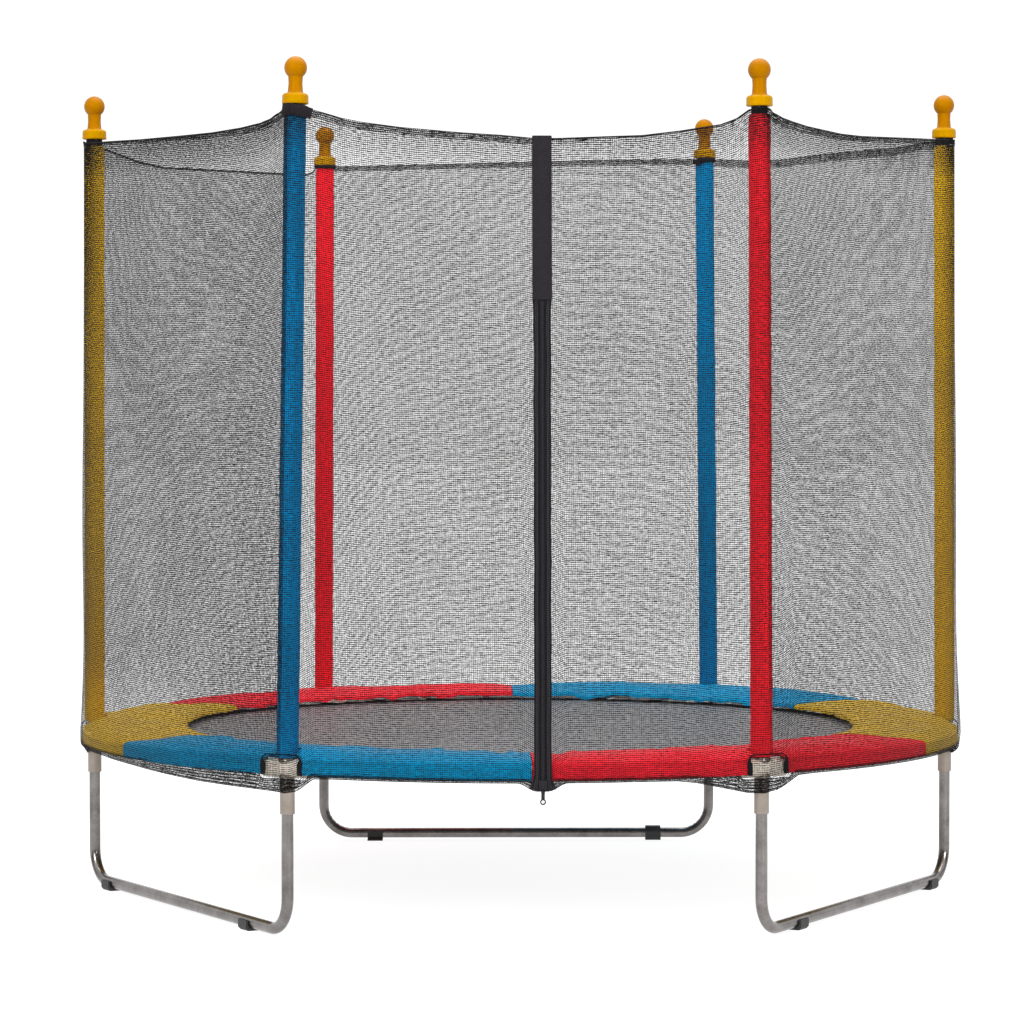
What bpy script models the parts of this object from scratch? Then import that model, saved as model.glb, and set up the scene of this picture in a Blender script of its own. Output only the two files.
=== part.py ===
"""Round children's trampoline: a ring of bent tubes on three U-shaped legs, with a spring-hung mat,
a six-colour pad and a zipped net held up by six poles.

Metres, +Z up, +X to the right, -Y to the front. The origin is on the floor under the mat's middle.
"""

import math

import bmesh
import bpy
from mathutils import Matrix, Vector

# Frame
RING_RADIUS = 0.690  # centreline of the ring, and the circle that the poles stand on
RING_HEIGHT = 0.252
RING_TUBE = 0.0110  # outer radius
LEG_TUBE = 0.0088  # outer radius of the legs and of the poles, which are the same tube
TUBE_WALL = 0.0012
TUBE_SIDES = 12

# Corner joint: a sleeve over the ends of two ring tubes, crossed by an upright socket
SLEEVE_HALF_LENGTH = 0.039
SLEEVE_BORE = 0.0119
SLEEVE_OUTER = 0.0138
SOCKET_BORE = 0.0096
SOCKET_OUTER = 0.0110
SOCKET_BOTTOM = 0.185
SOCKET_TOP = 0.267
RING_END_GAP = 0.0125  # from a pole's axis to the nearest ring tube end

# Legs and their foot clips
LEG_TOP = 0.232
LEG_BEND = 0.050
BAR_HEIGHT = 0.0122
CLIP_LENGTH = 0.027
CLIP_CHANNEL = 0.0093
CLIP_HALF_WIDTH = 0.0125
CLIP_FLAT_HALF_WIDTH = 0.0085
CLIP_TOP = 0.0165
CLIP_CHAMFER = 0.0050
CLIP_FLANGE = 0.0210  # how far its base reaches inwards from the bar's axis
CLIP_FLANGE_THICKNESS = 0.0026

# Poles with foam sleeves and ball caps
POLE_BOTTOM = 0.240
POLE_TOP = 1.223
FOAM_BOTTOM = 0.2677
FOAM_TOP = 1.198
FOAM_OUTER = 0.0165
FOAM_BORE = 0.0094
FOAM_SIDES = 14
CAP_BOTTOM = 1.212
CAP_COLLAR = 0.0196
CAP_NECK = 0.0102
CAP_BALL = 0.0166
CAP_HEIGHT = 0.0695
CAP_COLLAR_HEIGHT = 0.0185
CAP_NECK_FOOT = 0.0220
CAP_HOLE_SPARE = 0.0010  # above the pole's end

# Mat and springs
MAT_RADIUS = 0.5835
MAT_THICKNESS = 0.004
MAT_TOP = 0.2555
SPRINGS = 36
SPRING_WIDTH = 0.011
SPRING_HEIGHT = 0.006
SPRING_RIM_INNER = 0.5862
SPRING_RIM_OUTER = 0.5892
SPRING_END = 0.6770

# Pad
PAD_INNER = 0.545
PAD_OUTER = 0.7070
PAD_SKIRT_INNER = 0.7046
PAD_SKIRT_BOTTOM = 0.2440
PAD_UNDERSIDE = 0.2672
PAD_TOP = 0.2745
PAD_CREST = 0.686  # radius at which the pad is highest
PAD_SHOULDER = (PAD_OUTER - 0.004, 0.2730)
PAD_SKIRT_TOP = 0.2690
PAD_INNER_EDGE = ((PAD_INNER, 0.2615), (PAD_INNER, 0.2655), (PAD_INNER + 0.006, 0.2685))
PAD_LEVEL_START = 0.664  # radius from which the underside is level
PAD_STEPS = 20
PAD_TURN = 0.75  # degrees by which the panels' seams stand off the middle between two poles
PANEL_GAP = 0.0004  # between neighbouring panels of the pad or of the net
POLE_CUT_HALF_WIDTH = 0.0190
POLE_CUT_START = 0.670
SKIRT_CUT_HALF_WIDTH = 0.0335
SKIRT_CUT_START = 0.704

# Net
NET_FOOT_RADIUS = 0.7116
NET_THICKNESS = 0.0012
NET_STANDOFF = 0.0197  # from a pole's axis to the net's corner
NET_TOP = 1.210
NET_FOOT_AT_POLE = 0.216
NET_FOOT_BETWEEN = 0.238
NET_COLUMNS = 12

# Zip
ZIP_ALONG = 0.533  # share of the way from the left front pole to the right front pole
ZIP_SLOT = 0.006  # between the two halves of the front net panel
TAPE_WIDTH = 0.025
TAPE_DROP = 0.0090  # how far the tape hangs below the net's foot
TAPE_THICKNESS = 0.0014
COIL_WIDTH = 0.006
COIL_THICKNESS = 0.0018
COIL_FOOT = 0.004  # above the tape's foot
COIL_LENGTH = 0.700
SLIDER_LENGTH = 0.013
SLIDER_WIDTH = 0.0115
SLIDER_WALL = 0.0016
SLIDER_REST = 0.0095  # its middle, above the tape's foot
BAIL_HEIGHT = 0.0044
BAIL_HALF_LENGTH = 0.0050
BAIL_THICKNESS = 0.0009
BAIL_WIDTH = 0.0028
PULL_LENGTH = 0.0280
PULL_THICKNESS = 0.0014
PULL_HEAD_HALF_WIDTH = 0.0037
PULL_STEM_HALF_WIDTH = 0.0026
PULL_EYE = 0.0044  # outer radius of the round end
PULL_EYE_HOLE = 0.0024
PULL_BAR = 0.0008  # half the height of the bar that swings in the bail
PULL_SLOT_HALF_WIDTH = 0.0021
PULL_SLOT_END = 0.0078
PULL_AXIS_HEIGHT = 0.0022  # above the slider's face
CLEARANCE = 0.0003

# Name, azimuth in degrees, how far the cap's foot stands inwards and sideways of upright, how much
# further the foam reaches up, how much further out of its socket the pole stands, and the colour of
# foam and pad
CORNERS = (
    ("right", 0, 0.0045, 0.0, 0.0, -0.0015, "yellow"),
    ("back_right", 60, 0.0075, 0.0062, 0.0145, 0.0075, "blue"),
    ("back_left", 120, 0.0075, 0.0, 0.0035, -0.0065, "red"),
    ("left", 180, 0.0030, 0.0, 0.0, -0.0045, "yellow"),
    ("front_left", 240, 0.0150, 0.0060, 0.0, 0.0030, "blue"),
    ("front_right", 300, 0.0075, -0.0011, 0.0025, 0.0, "red"),
)

# Name of each side between two neighbouring corners, and how far the net's top edge hangs there
SIDES = (
    ("right_back", 0.016),
    ("back", 0.006),
    ("left_back", 0.016),
    ("left_front", 0.018),
    ("front", 0.043),
    ("right_front", 0.018),
)

# Each leg's two corners, and how far each foot clip stands in from its corner along the bar
LEGS = (
    ("leg_back", 1, 2, 0.100, 0.092),
    ("leg_left", 3, 4, 0.066, 0.125),
    ("leg_right", 5, 0, 0.125, 0.066),
)

COLOURS = {
    "blue": ((0.010, 0.300, 0.640), 0.75, 0.0),
    "red": ((0.720, 0.020, 0.040), 0.75, 0.0),
    "yellow": ((0.950, 0.640, 0.010), 0.75, 0.0),
    "cap_yellow": ((0.960, 0.560, 0.010), 0.35, 0.0),
    "zinc": ((0.620, 0.600, 0.580), 0.30, 1.0),
    "warm_zinc": ((0.660, 0.600, 0.480), 0.40, 1.0),
    "spring_steel": ((0.550, 0.550, 0.540), 0.35, 1.0),
    "black_plastic": ((0.015, 0.015, 0.015), 0.50, 0.0),
    "mat_black": ((0.020, 0.020, 0.022), 0.60, 0.0),
    "net_black": ((0.030, 0.030, 0.032), 0.80, 0.0),
    "webbing": ((0.018, 0.018, 0.020), 0.70, 0.0),
    "coil_black": ((0.025, 0.025, 0.028), 0.40, 0.0),
    "pull_metal": ((0.300, 0.300, 0.310), 0.35, 1.0),
}


def material(name):
    """The Principled material of this name, made once."""
    found = bpy.data.materials.get(name)
    if found:
        return found
    colour, roughness, metallic = COLOURS[name]
    made = bpy.data.materials.new(name)
    made.use_nodes = True
    shader = made.node_tree.nodes["Principled BSDF"]
    shader.inputs["Base Color"].default_value = (*colour, 1.0)
    shader.inputs["Roughness"].default_value = roughness
    shader.inputs["Metallic"].default_value = metallic
    return made


def finish_mesh(name, bm, smooth):
    """The bmesh as a mesh with its faces pointing out, shaded smooth if it is round."""
    bmesh.ops.recalc_face_normals(bm, faces=bm.faces)
    mesh = bpy.data.meshes.new(name)
    bm.to_mesh(mesh)
    bm.free()
    if smooth:
        mesh.shade_smooth()
        mesh.set_sharp_from_angle(angle=math.radians(40))
    return mesh


def place(name, mesh, colour, matrix=None, parent=None):
    """One named object with its own copy of the mesh and one material."""
    own = mesh.copy()
    own.name = name
    own.materials.clear()
    own.materials.append(material(colour))
    node = bpy.data.objects.new(name, own)
    bpy.context.collection.objects.link(node)
    node.parent = parent
    node.matrix_basis = matrix or Matrix.Identity(4)
    return node


def boolean_mesh(base, tool, operation):
    """The mesh left when the tool mesh is cut from, or joined to, the base mesh."""
    first = bpy.data.objects.new("base", base)
    second = bpy.data.objects.new("tool", tool)
    for shape in (first, second):
        bpy.context.collection.objects.link(shape)
    cut = first.modifiers.new("cut", "BOOLEAN")
    cut.operation = operation
    cut.solver = "EXACT"
    cut.object = second
    bpy.context.view_layer.update()
    evaluated = first.evaluated_get(bpy.context.evaluated_depsgraph_get())
    result = bpy.data.meshes.new_from_object(evaluated)
    for shape in (first, second):
        bpy.data.objects.remove(shape)
    return result


def corner_azimuth(index):
    return math.radians(CORNERS[index % 6][1])


def corner_point(index, height=0.0, radius=RING_RADIUS):
    azimuth = corner_azimuth(index)
    return Vector((radius * math.cos(azimuth), radius * math.sin(azimuth), height))


def corner_matrix(index, height=0.0):
    """A frame at the corner with +X pointing away from the mat."""
    return Matrix.Translation(corner_point(index, height)) @ Matrix.Rotation(corner_azimuth(index), 4, "Z")


def tube(path, across, outer, inner=None, sides=TUBE_SIDES):
    """A round tube, or a bar without an inner radius, along a path in the plane across is normal to."""
    bm = bmesh.new()
    walls = [outer] if inner is None else [outer, inner]
    rings = []
    for index, point in enumerate(path):
        before = (point - path[max(index - 1, 0)]).normalized()
        after = (path[min(index + 1, len(path) - 1)] - point).normalized()
        along = (before + after).normalized()
        turn = max(before.length, after.length) and abs(along.dot(after if after.length else before))
        sideways = across.cross(along).normalized() / turn
        ring = []
        for radius in walls:
            for step in range(sides):
                angle = 2 * math.pi * step / sides
                offset = sideways * (radius * math.cos(angle)) + across * (radius * math.sin(angle))
                ring.append(bm.verts.new(point + offset))
        rings.append(ring)
    for first, second in zip(rings, rings[1:]):
        for wall in range(len(walls)):
            for step in range(sides):
                a = wall * sides + step
                b = wall * sides + (step + 1) % sides
                bm.faces.new((first[a], first[b], second[b], second[a]))
    for ring in (rings[0], rings[-1]):
        if inner is None:
            bm.faces.new(ring)
            continue
        for step in range(sides):
            following = (step + 1) % sides
            bm.faces.new((ring[step], ring[following], ring[sides + following], ring[sides + step]))
    return bm


def upright_tube(bottom, top, outer, inner=None, sides=TUBE_SIDES):
    return tube([Vector((0, 0, bottom)), Vector((0, 0, top))], Vector((0, 1, 0)), outer, inner, sides)


def lathe(profile, sides):
    """A solid turned about Z from (radius, height) points that start and end on the axis."""
    bm = bmesh.new()
    rings = []
    for radius, height in profile:
        if radius == 0:
            rings.append([bm.verts.new((0, 0, height))])
            continue
        ring = []
        for step in range(sides):
            angle = 2 * math.pi * step / sides
            ring.append(bm.verts.new((radius * math.cos(angle), radius * math.sin(angle), height)))
        rings.append(ring)
    for first, second in zip(rings, rings[1:]):
        for step in range(sides):
            corners = []
            for vert in (
                first[step % len(first)],
                first[(step + 1) % len(first)],
                second[(step + 1) % len(second)],
                second[step % len(second)],
            ):
                if vert not in corners:
                    corners.append(vert)
            bm.faces.new(corners)
    return bm


def prism(outline, low, high):
    """An outline of (x, y) points stood up from one height to another."""
    bm = bmesh.new()
    bottom = [bm.verts.new((x, y, low)) for x, y in outline]
    top = [bm.verts.new((x, y, high)) for x, y in outline]
    bm.faces.new(bottom[::-1])
    bm.faces.new(top)
    for index in range(len(outline)):
        following = (index + 1) % len(outline)
        bm.faces.new((bottom[index], bottom[following], top[following], top[index]))
    return bm


def box(low, high):
    corners = [(low[0], low[1]), (high[0], low[1]), (high[0], high[1]), (low[0], high[1])]
    return prism(corners, low[2], high[2])


def arc(radius, start, end, steps, height=0.0):
    """Points along a level arc about Z, with its angles in degrees."""
    points = []
    for step in range(steps + 1):
        angle = math.radians(start + (end - start) * step / steps)
        points.append(Vector((radius * math.cos(angle), radius * math.sin(angle), height)))
    return points


def build_ring():
    """Six bent tubes, each from inside one corner joint to inside the next."""
    sleeve = math.degrees(SLEEVE_HALF_LENGTH / RING_RADIUS)
    end = math.degrees(RING_END_GAP / RING_RADIUS)
    path = arc(RING_RADIUS, end, sleeve, 1) + arc(RING_RADIUS, sleeve, 60 - sleeve, 7)[1:]
    path += arc(RING_RADIUS, 60 - sleeve, 60 - end, 1)[1:]
    mesh = finish_mesh("ring_tube", tube(path, Vector((0, 0, 1)), RING_TUBE, RING_TUBE - TUBE_WALL), True)
    for index, (side, _) in enumerate(SIDES):
        turn = Matrix.Rotation(corner_azimuth(index), 4, "Z")
        place(f"ring_tube_{side}", mesh, "zinc", Matrix.Translation((0, 0, RING_HEIGHT)) @ turn)


def build_corner_joints():
    """A sleeve that follows the ring, crossed by the upright socket of a leg and a pole."""
    half = math.degrees(SLEEVE_HALF_LENGTH / RING_RADIUS)
    inwards = Matrix.Translation((-RING_RADIUS, 0, 0))
    upwards = Vector((0, 0, 1))

    def along_ring(radius, reach):
        shape = finish_mesh("sleeve", tube(arc(RING_RADIUS, -reach, reach, 2), upwards, radius), True)
        shape.transform(inwards)
        return shape

    def upright(radius, bottom, top):
        return finish_mesh("socket", upright_tube(bottom - RING_HEIGHT, top - RING_HEIGHT, radius), True)

    socket = upright(SOCKET_OUTER, SOCKET_BOTTOM, SOCKET_TOP)
    socket_bore = upright(SOCKET_BORE, SOCKET_BOTTOM - 0.01, SOCKET_TOP + 0.01)
    mesh = boolean_mesh(along_ring(SLEEVE_OUTER, half), socket, "UNION")
    mesh = boolean_mesh(mesh, along_ring(SLEEVE_BORE, half * 1.2), "DIFFERENCE")
    mesh = boolean_mesh(mesh, socket_bore, "DIFFERENCE")
    mesh.shade_smooth()
    mesh.set_sharp_from_angle(angle=math.radians(40))
    for index, (corner, *_) in enumerate(CORNERS):
        place(f"corner_joint_{corner}", mesh, "warm_zinc", corner_matrix(index, RING_HEIGHT))


def leg_path(length):
    """Down from the first corner, along the floor by the given length, and up to the second."""
    path = [Vector((0, 0, LEG_TOP))]
    for centre, start in ((LEG_BEND, 180), (length - LEG_BEND, 270)):
        for step in range(7):
            angle = math.radians(start + 15 * step)
            height = BAR_HEIGHT + LEG_BEND + LEG_BEND * math.sin(angle)
            path.append(Vector((centre + LEG_BEND * math.cos(angle), 0, height)))
    path.append(Vector((length, 0, LEG_TOP)))
    return path


def foot_clip_mesh():
    """A saddle under the bar, flat where it stands on the floor, with a thin flange inwards."""
    outline = [(-CLIP_HALF_WIDTH, CLIP_TOP), (-CLIP_HALF_WIDTH, CLIP_CHAMFER), (-CLIP_FLAT_HALF_WIDTH, 0)]
    outline += [(CLIP_FLANGE, 0), (CLIP_FLANGE, CLIP_FLANGE_THICKNESS)]
    outline += [(CLIP_HALF_WIDTH, CLIP_CHAMFER), (CLIP_HALF_WIDTH, CLIP_TOP)]
    for step in range(11):
        angle = math.radians(15 - 21 * step)
        outline.append((CLIP_CHANNEL * math.cos(angle), BAR_HEIGHT + CLIP_CHANNEL * math.sin(angle)))
    mesh = finish_mesh("foot_clip", prism(outline, -CLIP_LENGTH / 2, CLIP_LENGTH / 2), False)
    mesh.transform(Matrix(((0, 0, 1, 0), (1, 0, 0, 0), (0, 1, 0, 0), (0, 0, 0, 1))))
    return mesh


def build_legs():
    clip = foot_clip_mesh()
    for name, first, second, first_clip, second_clip in LEGS:
        start, end = corner_point(first), corner_point(second)
        bar = end - start
        stand = Matrix.Translation(start) @ Matrix.Rotation(math.atan2(bar.y, bar.x), 4, "Z")
        shape = tube(leg_path(bar.length), Vector((0, 1, 0)), LEG_TUBE, LEG_TUBE - TUBE_WALL)
        place(name, finish_mesh(name, shape, True), "zinc", stand)
        for corner, along in ((first, first_clip), (second, bar.length - second_clip)):
            name_of_clip = f"foot_clip_{CORNERS[corner][0]}"
            place(name_of_clip, clip, "black_plastic", stand @ Matrix.Translation((along, 0, 0)))


def cap_profile():
    """Collar, neck and ball, with a blind hole for the pole from below."""
    ball_centre = CAP_HEIGHT - CAP_BALL
    hole = POLE_TOP - CAP_BOTTOM + CAP_HOLE_SPARE
    profile = [(0, hole), (FOAM_BORE, hole), (FOAM_BORE, 0), (CAP_COLLAR - 0.001, 0), (CAP_COLLAR, 0.0015)]
    profile += [(CAP_COLLAR, CAP_COLLAR_HEIGHT - 0.002), (CAP_COLLAR - 0.002, CAP_COLLAR_HEIGHT)]
    profile += [(CAP_NECK + 0.001, CAP_COLLAR_HEIGHT + 0.001), (CAP_NECK, CAP_NECK_FOOT)]
    for latitude in (-51, -20, 10, 38, 64):
        angle = math.radians(latitude)
        profile.append((CAP_BALL * math.cos(angle), ball_centre + CAP_BALL * math.sin(angle)))
    return profile + [(0, CAP_HEIGHT)]


def pole_shift(index, height):
    """How far the pole's axis stands from upright at a height, in the corner's own frame."""
    _, _, inwards, sideways, *_ = CORNERS[index % 6]
    share = (height - RING_HEIGHT) / (CAP_BOTTOM - RING_HEIGHT)
    return Vector((-inwards * share, sideways * share, 0))


def build_poles():
    pole_shape = upright_tube(0, POLE_TOP - POLE_BOTTOM, LEG_TUBE, LEG_TUBE - TUBE_WALL)
    pole = finish_mesh("pole", pole_shape, True)
    cap = finish_mesh("cap", lathe(cap_profile(), TUBE_SIDES), True)
    for index, (corner, *_, spare, lift, colour) in enumerate(CORNERS):
        foam_length = FOAM_TOP + spare - FOAM_BOTTOM
        foam_shape = upright_tube(0, foam_length, FOAM_OUTER, FOAM_BORE, FOAM_SIDES)
        foam = finish_mesh(f"foam_{corner}", foam_shape, True)
        upright = bpy.data.objects.new(f"upright_{corner}", None)
        bpy.context.collection.objects.link(upright)
        axis = Vector((0, 0, CAP_BOTTOM - RING_HEIGHT)) + pole_shift(index, CAP_BOTTOM)
        lean = Vector((0, 0, 1)).rotation_difference(axis).to_matrix().to_4x4()
        upright.matrix_basis = corner_matrix(index, RING_HEIGHT) @ lean
        for kind, mesh, paint, bottom in (
            ("pole", pole, "zinc", POLE_BOTTOM + lift),
            ("pole_foam", foam, colour, FOAM_BOTTOM),
            ("pole_cap", cap, "cap_yellow", CAP_BOTTOM + lift),
        ):
            stand = Matrix.Translation((0, 0, bottom - RING_HEIGHT))
            place(f"{kind}_{corner}", mesh, paint, stand, upright)


def build_mat():
    profile = [(0, -MAT_THICKNESS), (MAT_RADIUS, -MAT_THICKNESS), (MAT_RADIUS, 0), (0, 0)]
    mesh = finish_mesh("mat", lathe(profile, 72), False)
    place("mat", mesh, "mat_black", Matrix.Translation((0, 0, MAT_TOP)))


def build_springs():
    """Springs as spokes that stand out from the wire rim along the mat's edge."""
    bm = bmesh.new()
    half = SPRING_WIDTH / 2
    loops = []
    for spoke in range(SPRINGS):
        turn = Matrix.Rotation(2 * math.pi * (spoke + 0.5) / SPRINGS, 4, "Z")
        for side in (-half, half):
            inner = math.sqrt(SPRING_RIM_INNER**2 - half**2)
            outer = math.sqrt(SPRING_RIM_OUTER**2 - half**2)
            column = []
            for reach in (inner, outer, SPRING_END):
                for height in (-SPRING_HEIGHT / 2, SPRING_HEIGHT / 2):
                    column.append(bm.verts.new(turn @ Vector((reach, side, height))))
            loops.append(column)
    for index, here in enumerate(loops):
        there = loops[(index + 1) % len(loops)]
        on_spoke = index % 2 == 0
        faces = [(0, 2, 2, 0), (1, 3, 3, 1), (0, 1, 1, 0)]
        faces += [(2, 4, 4, 2), (3, 5, 5, 3), (4, 5, 5, 4)] if on_spoke else [(2, 3, 3, 2)]
        for a, b, c, d in faces:
            bm.faces.new((here[a], here[b], there[c], there[d]))
        bm.faces.new((here[2], here[4], here[5], here[3]))
    mesh = finish_mesh("springs", bm, False)
    place("springs", mesh, "spring_steel", Matrix.Translation((0, 0, MAT_TOP - MAT_THICKNESS / 2)))


def pad_panel_mesh():
    """Sixty degrees of the pad about +X, cut out where its pole stands and where its corner joint shows."""
    low, middle, high = PAD_INNER_EDGE
    profile = [low, (PAD_LEVEL_START, PAD_UNDERSIDE), (PAD_SKIRT_INNER, PAD_UNDERSIDE)]
    profile += [(PAD_SKIRT_INNER, PAD_SKIRT_BOTTOM), (PAD_OUTER, PAD_SKIRT_BOTTOM)]
    profile += [(PAD_OUTER, PAD_SKIRT_TOP), PAD_SHOULDER, (PAD_CREST, PAD_TOP), high, middle]
    trim = math.degrees(PANEL_GAP / 2 / PAD_INNER)
    bm = bmesh.new()
    sections = []
    for step in range(PAD_STEPS + 1):
        angle = math.radians(PAD_TURN - 30 + trim + (60 - 2 * trim) * step / PAD_STEPS)
        sections.append([bm.verts.new((r * math.cos(angle), r * math.sin(angle), z)) for r, z in profile])
    for first, second in zip(sections, sections[1:]):
        for index in range(len(profile)):
            following = (index + 1) % len(profile)
            bm.faces.new((first[index], first[following], second[following], second[index]))
    bm.faces.new(sections[0])
    bm.faces.new(sections[-1])
    mesh = finish_mesh("pad", bm, False)
    keyhole = [(POLE_CUT_START, -POLE_CUT_HALF_WIDTH), (SKIRT_CUT_START, -POLE_CUT_HALF_WIDTH)]
    keyhole += [(SKIRT_CUT_START, -SKIRT_CUT_HALF_WIDTH), (PAD_OUTER + 0.02, -SKIRT_CUT_HALF_WIDTH)]
    keyhole += [(x, -y) for x, y in reversed(keyhole)]
    return boolean_mesh(mesh, finish_mesh("keyhole", prism(keyhole, 0.20, 0.30), False), "DIFFERENCE")


def build_pad():
    mesh = pad_panel_mesh()
    for index, (corner, *_, colour) in enumerate(CORNERS):
        place(f"pad_{corner}", mesh, colour, Matrix.Rotation(corner_azimuth(index), 4, "Z"))


def net_line(side, along, outwards=0.0):
    """The foot and the top of the straight line up the net, at a share of the way along a side."""
    azimuth = corner_azimuth(side) + math.radians(60) * along
    radius = NET_FOOT_RADIUS + outwards
    nearness = abs(2 * along - 1)
    foot_height = NET_FOOT_BETWEEN + (NET_FOOT_AT_POLE - NET_FOOT_BETWEEN) * nearness**4
    foot = Vector((radius * math.cos(azimuth), radius * math.sin(azimuth), foot_height))
    ends = []
    for corner in (side, side + 1):
        drop = min(0, CORNERS[corner % 6][5])
        reach = Vector((NET_STANDOFF + outwards, 0, drop)) + pole_shift(corner, NET_TOP)
        ends.append(corner_matrix(corner, NET_TOP) @ reach)
    top = ends[0].lerp(ends[1], along)
    top.z -= SIDES[side][1] * (1 - nearness**2)
    return foot, top


def net_panel_mesh(name, side, start, end, columns):
    bm = bmesh.new()
    lines = []
    for column in range(columns + 1):
        along = start + (end - start) * column / columns
        inner, outer = net_line(side, along), net_line(side, along, NET_THICKNESS)
        lines.append([bm.verts.new(point) for point in (*inner, *outer[::-1])])
    for first, second in zip(lines, lines[1:]):
        for index in range(4):
            following = (index + 1) % 4
            bm.faces.new((first[index], first[following], second[following], second[index]))
    bm.faces.new(lines[0])
    bm.faces.new(lines[-1])
    bmesh.ops.triangulate(bm, faces=bm.faces)
    return finish_mesh(name, bm, False)


def build_net():
    edge = PANEL_GAP / 2 / NET_FOOT_RADIUS / math.radians(60)
    slot = ZIP_SLOT / 2 / RING_RADIUS
    for side, (label, _) in enumerate(SIDES):
        spans = [(f"net_{label}", edge, 1 - edge, NET_COLUMNS)]
        if label == "front":
            spans = [("net_front_left_half", edge, ZIP_ALONG - slot, NET_COLUMNS // 2)]
            spans += [("net_front_right_half", ZIP_ALONG + slot, 1 - edge, NET_COLUMNS // 2)]
        for name, start, end, columns in spans:
            place(name, net_panel_mesh(name, side, start, end, columns), "net_black")


def zip_frame():
    """A frame at the tape's foot, on the net's outer face: +Y up the tape and +Z outwards."""
    front = [label for label, _ in SIDES].index("front")
    foot, top = net_line(front, ZIP_ALONG, NET_THICKNESS)
    up = top - foot
    up.x = 0
    length = up.length + TAPE_DROP
    up.normalize()
    foot -= up * TAPE_DROP
    sideways = Vector((1, 0, 0))
    outwards = sideways.cross(up)
    turn = Matrix((sideways, up, outwards)).transposed().to_4x4()
    return Matrix.Translation(foot + outwards * CLEARANCE * 2) @ turn, length


def slider_mesh():
    """A channel over the coil, with a bail across its face for the pull tab."""
    half, inside = SLIDER_WIDTH / 2, COIL_WIDTH / 2 + CLEARANCE
    depth = COIL_THICKNESS + CLEARANCE
    channel = [(-half, 0), (-inside, 0), (-inside, depth), (inside, depth), (inside, 0), (half, 0)]
    channel += [(half, depth + SLIDER_WALL), (-half, depth + SLIDER_WALL)]
    body = finish_mesh("slider", prism(channel, -SLIDER_LENGTH / 2, SLIDER_LENGTH / 2), False)
    body.transform(Matrix(((1, 0, 0, 0), (0, 0, 1, 0), (0, 1, 0, 0), (0, 0, 0, 1))))
    face = depth + SLIDER_WALL
    reach, wall, root = BAIL_HALF_LENGTH, BAIL_THICKNESS, -0.0005
    arch = [(-reach, root), (-reach, BAIL_HEIGHT), (reach, BAIL_HEIGHT), (reach, root)]
    arch += [(reach - wall, root), (reach - wall, BAIL_HEIGHT - wall)]
    arch += [(wall - reach, BAIL_HEIGHT - wall), (wall - reach, root)]
    bail = finish_mesh("bail", prism(arch, -BAIL_WIDTH / 2, BAIL_WIDTH / 2), False)
    bail.transform(Matrix(((0, 0, 1, 0), (1, 0, 0, 0), (0, 1, 0, face), (0, 0, 0, 1))))
    return boolean_mesh(body, bail, "UNION"), face


def pull_mesh():
    """A tab that hangs down -Y from a bar on its axis, with a slot for the bail and a finger hole."""
    head, stem = PULL_HEAD_HALF_WIDTH, PULL_STEM_HALF_WIDTH
    eye_centre = PULL_EYE - PULL_LENGTH
    side = [(stem, eye_centre + 0.0035), (stem, -PULL_SLOT_END - 0.003), (head, -PULL_SLOT_END)]
    side += [(head, PULL_BAR)]
    outline = [(-x, y) for x, y in reversed(side)]
    for step in range(9):
        angle = math.radians(157.5 + 28.125 * step)
        outline.append((PULL_EYE * math.cos(angle), eye_centre + PULL_EYE * math.sin(angle)))
    outline += side
    half = PULL_THICKNESS / 2
    tab = finish_mesh("tab", prism(outline, -half, half), False)
    across = PULL_SLOT_HALF_WIDTH
    slot = finish_mesh("slot", box((-across, -PULL_SLOT_END, -0.01), (across, -PULL_BAR, 0.01)), False)
    hole = finish_mesh("hole", upright_tube(-0.01, 0.01, PULL_EYE_HOLE), False)
    hole.transform(Matrix.Translation((0, eye_centre, 0)))
    return boolean_mesh(boolean_mesh(tab, slot, "DIFFERENCE"), hole, "DIFFERENCE")


def build_zip():
    frame, length = zip_frame()
    half = TAPE_WIDTH / 2
    tape = box((-half, 0, 0), (half, length, TAPE_THICKNESS))
    place("zip_tape", finish_mesh("zip_tape", tape, False), "webbing", frame)
    coil_base = TAPE_THICKNESS + CLEARANCE
    low = (-COIL_WIDTH / 2, COIL_FOOT, coil_base)
    high = (COIL_WIDTH / 2, COIL_FOOT + COIL_LENGTH, coil_base + COIL_THICKNESS)
    coil = box(low, high)
    place("zip_coil", finish_mesh("zip_coil", coil, False), "coil_black", frame)
    mesh, face = slider_mesh()
    at_slider = frame @ Matrix.Translation((0, SLIDER_REST, coil_base))
    place("zip_slider", mesh, "pull_metal", at_slider)
    pivot = at_slider @ Vector((0, 0, face + PULL_AXIS_HEIGHT))
    upright = Matrix(((1, 0, 0, 0), (0, 0, -1, 0), (0, 1, 0, 0), (0, 0, 0, 1)))
    place("zip_pull", pull_mesh(), "pull_metal", Matrix.Translation(pivot) @ upright)


def main():
    for leftover in list(bpy.data.objects):
        bpy.data.objects.remove(leftover)
    build_ring()
    build_corner_joints()
    build_legs()
    build_poles()
    build_mat()
    build_springs()
    build_pad()
    build_net()
    build_zip()


main()
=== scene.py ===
"""Looks of the round children's trampoline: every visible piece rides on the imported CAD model."""

import math

import bmesh
import bpy
import numpy as np
from mathutils import Matrix, Vector, noise


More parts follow.
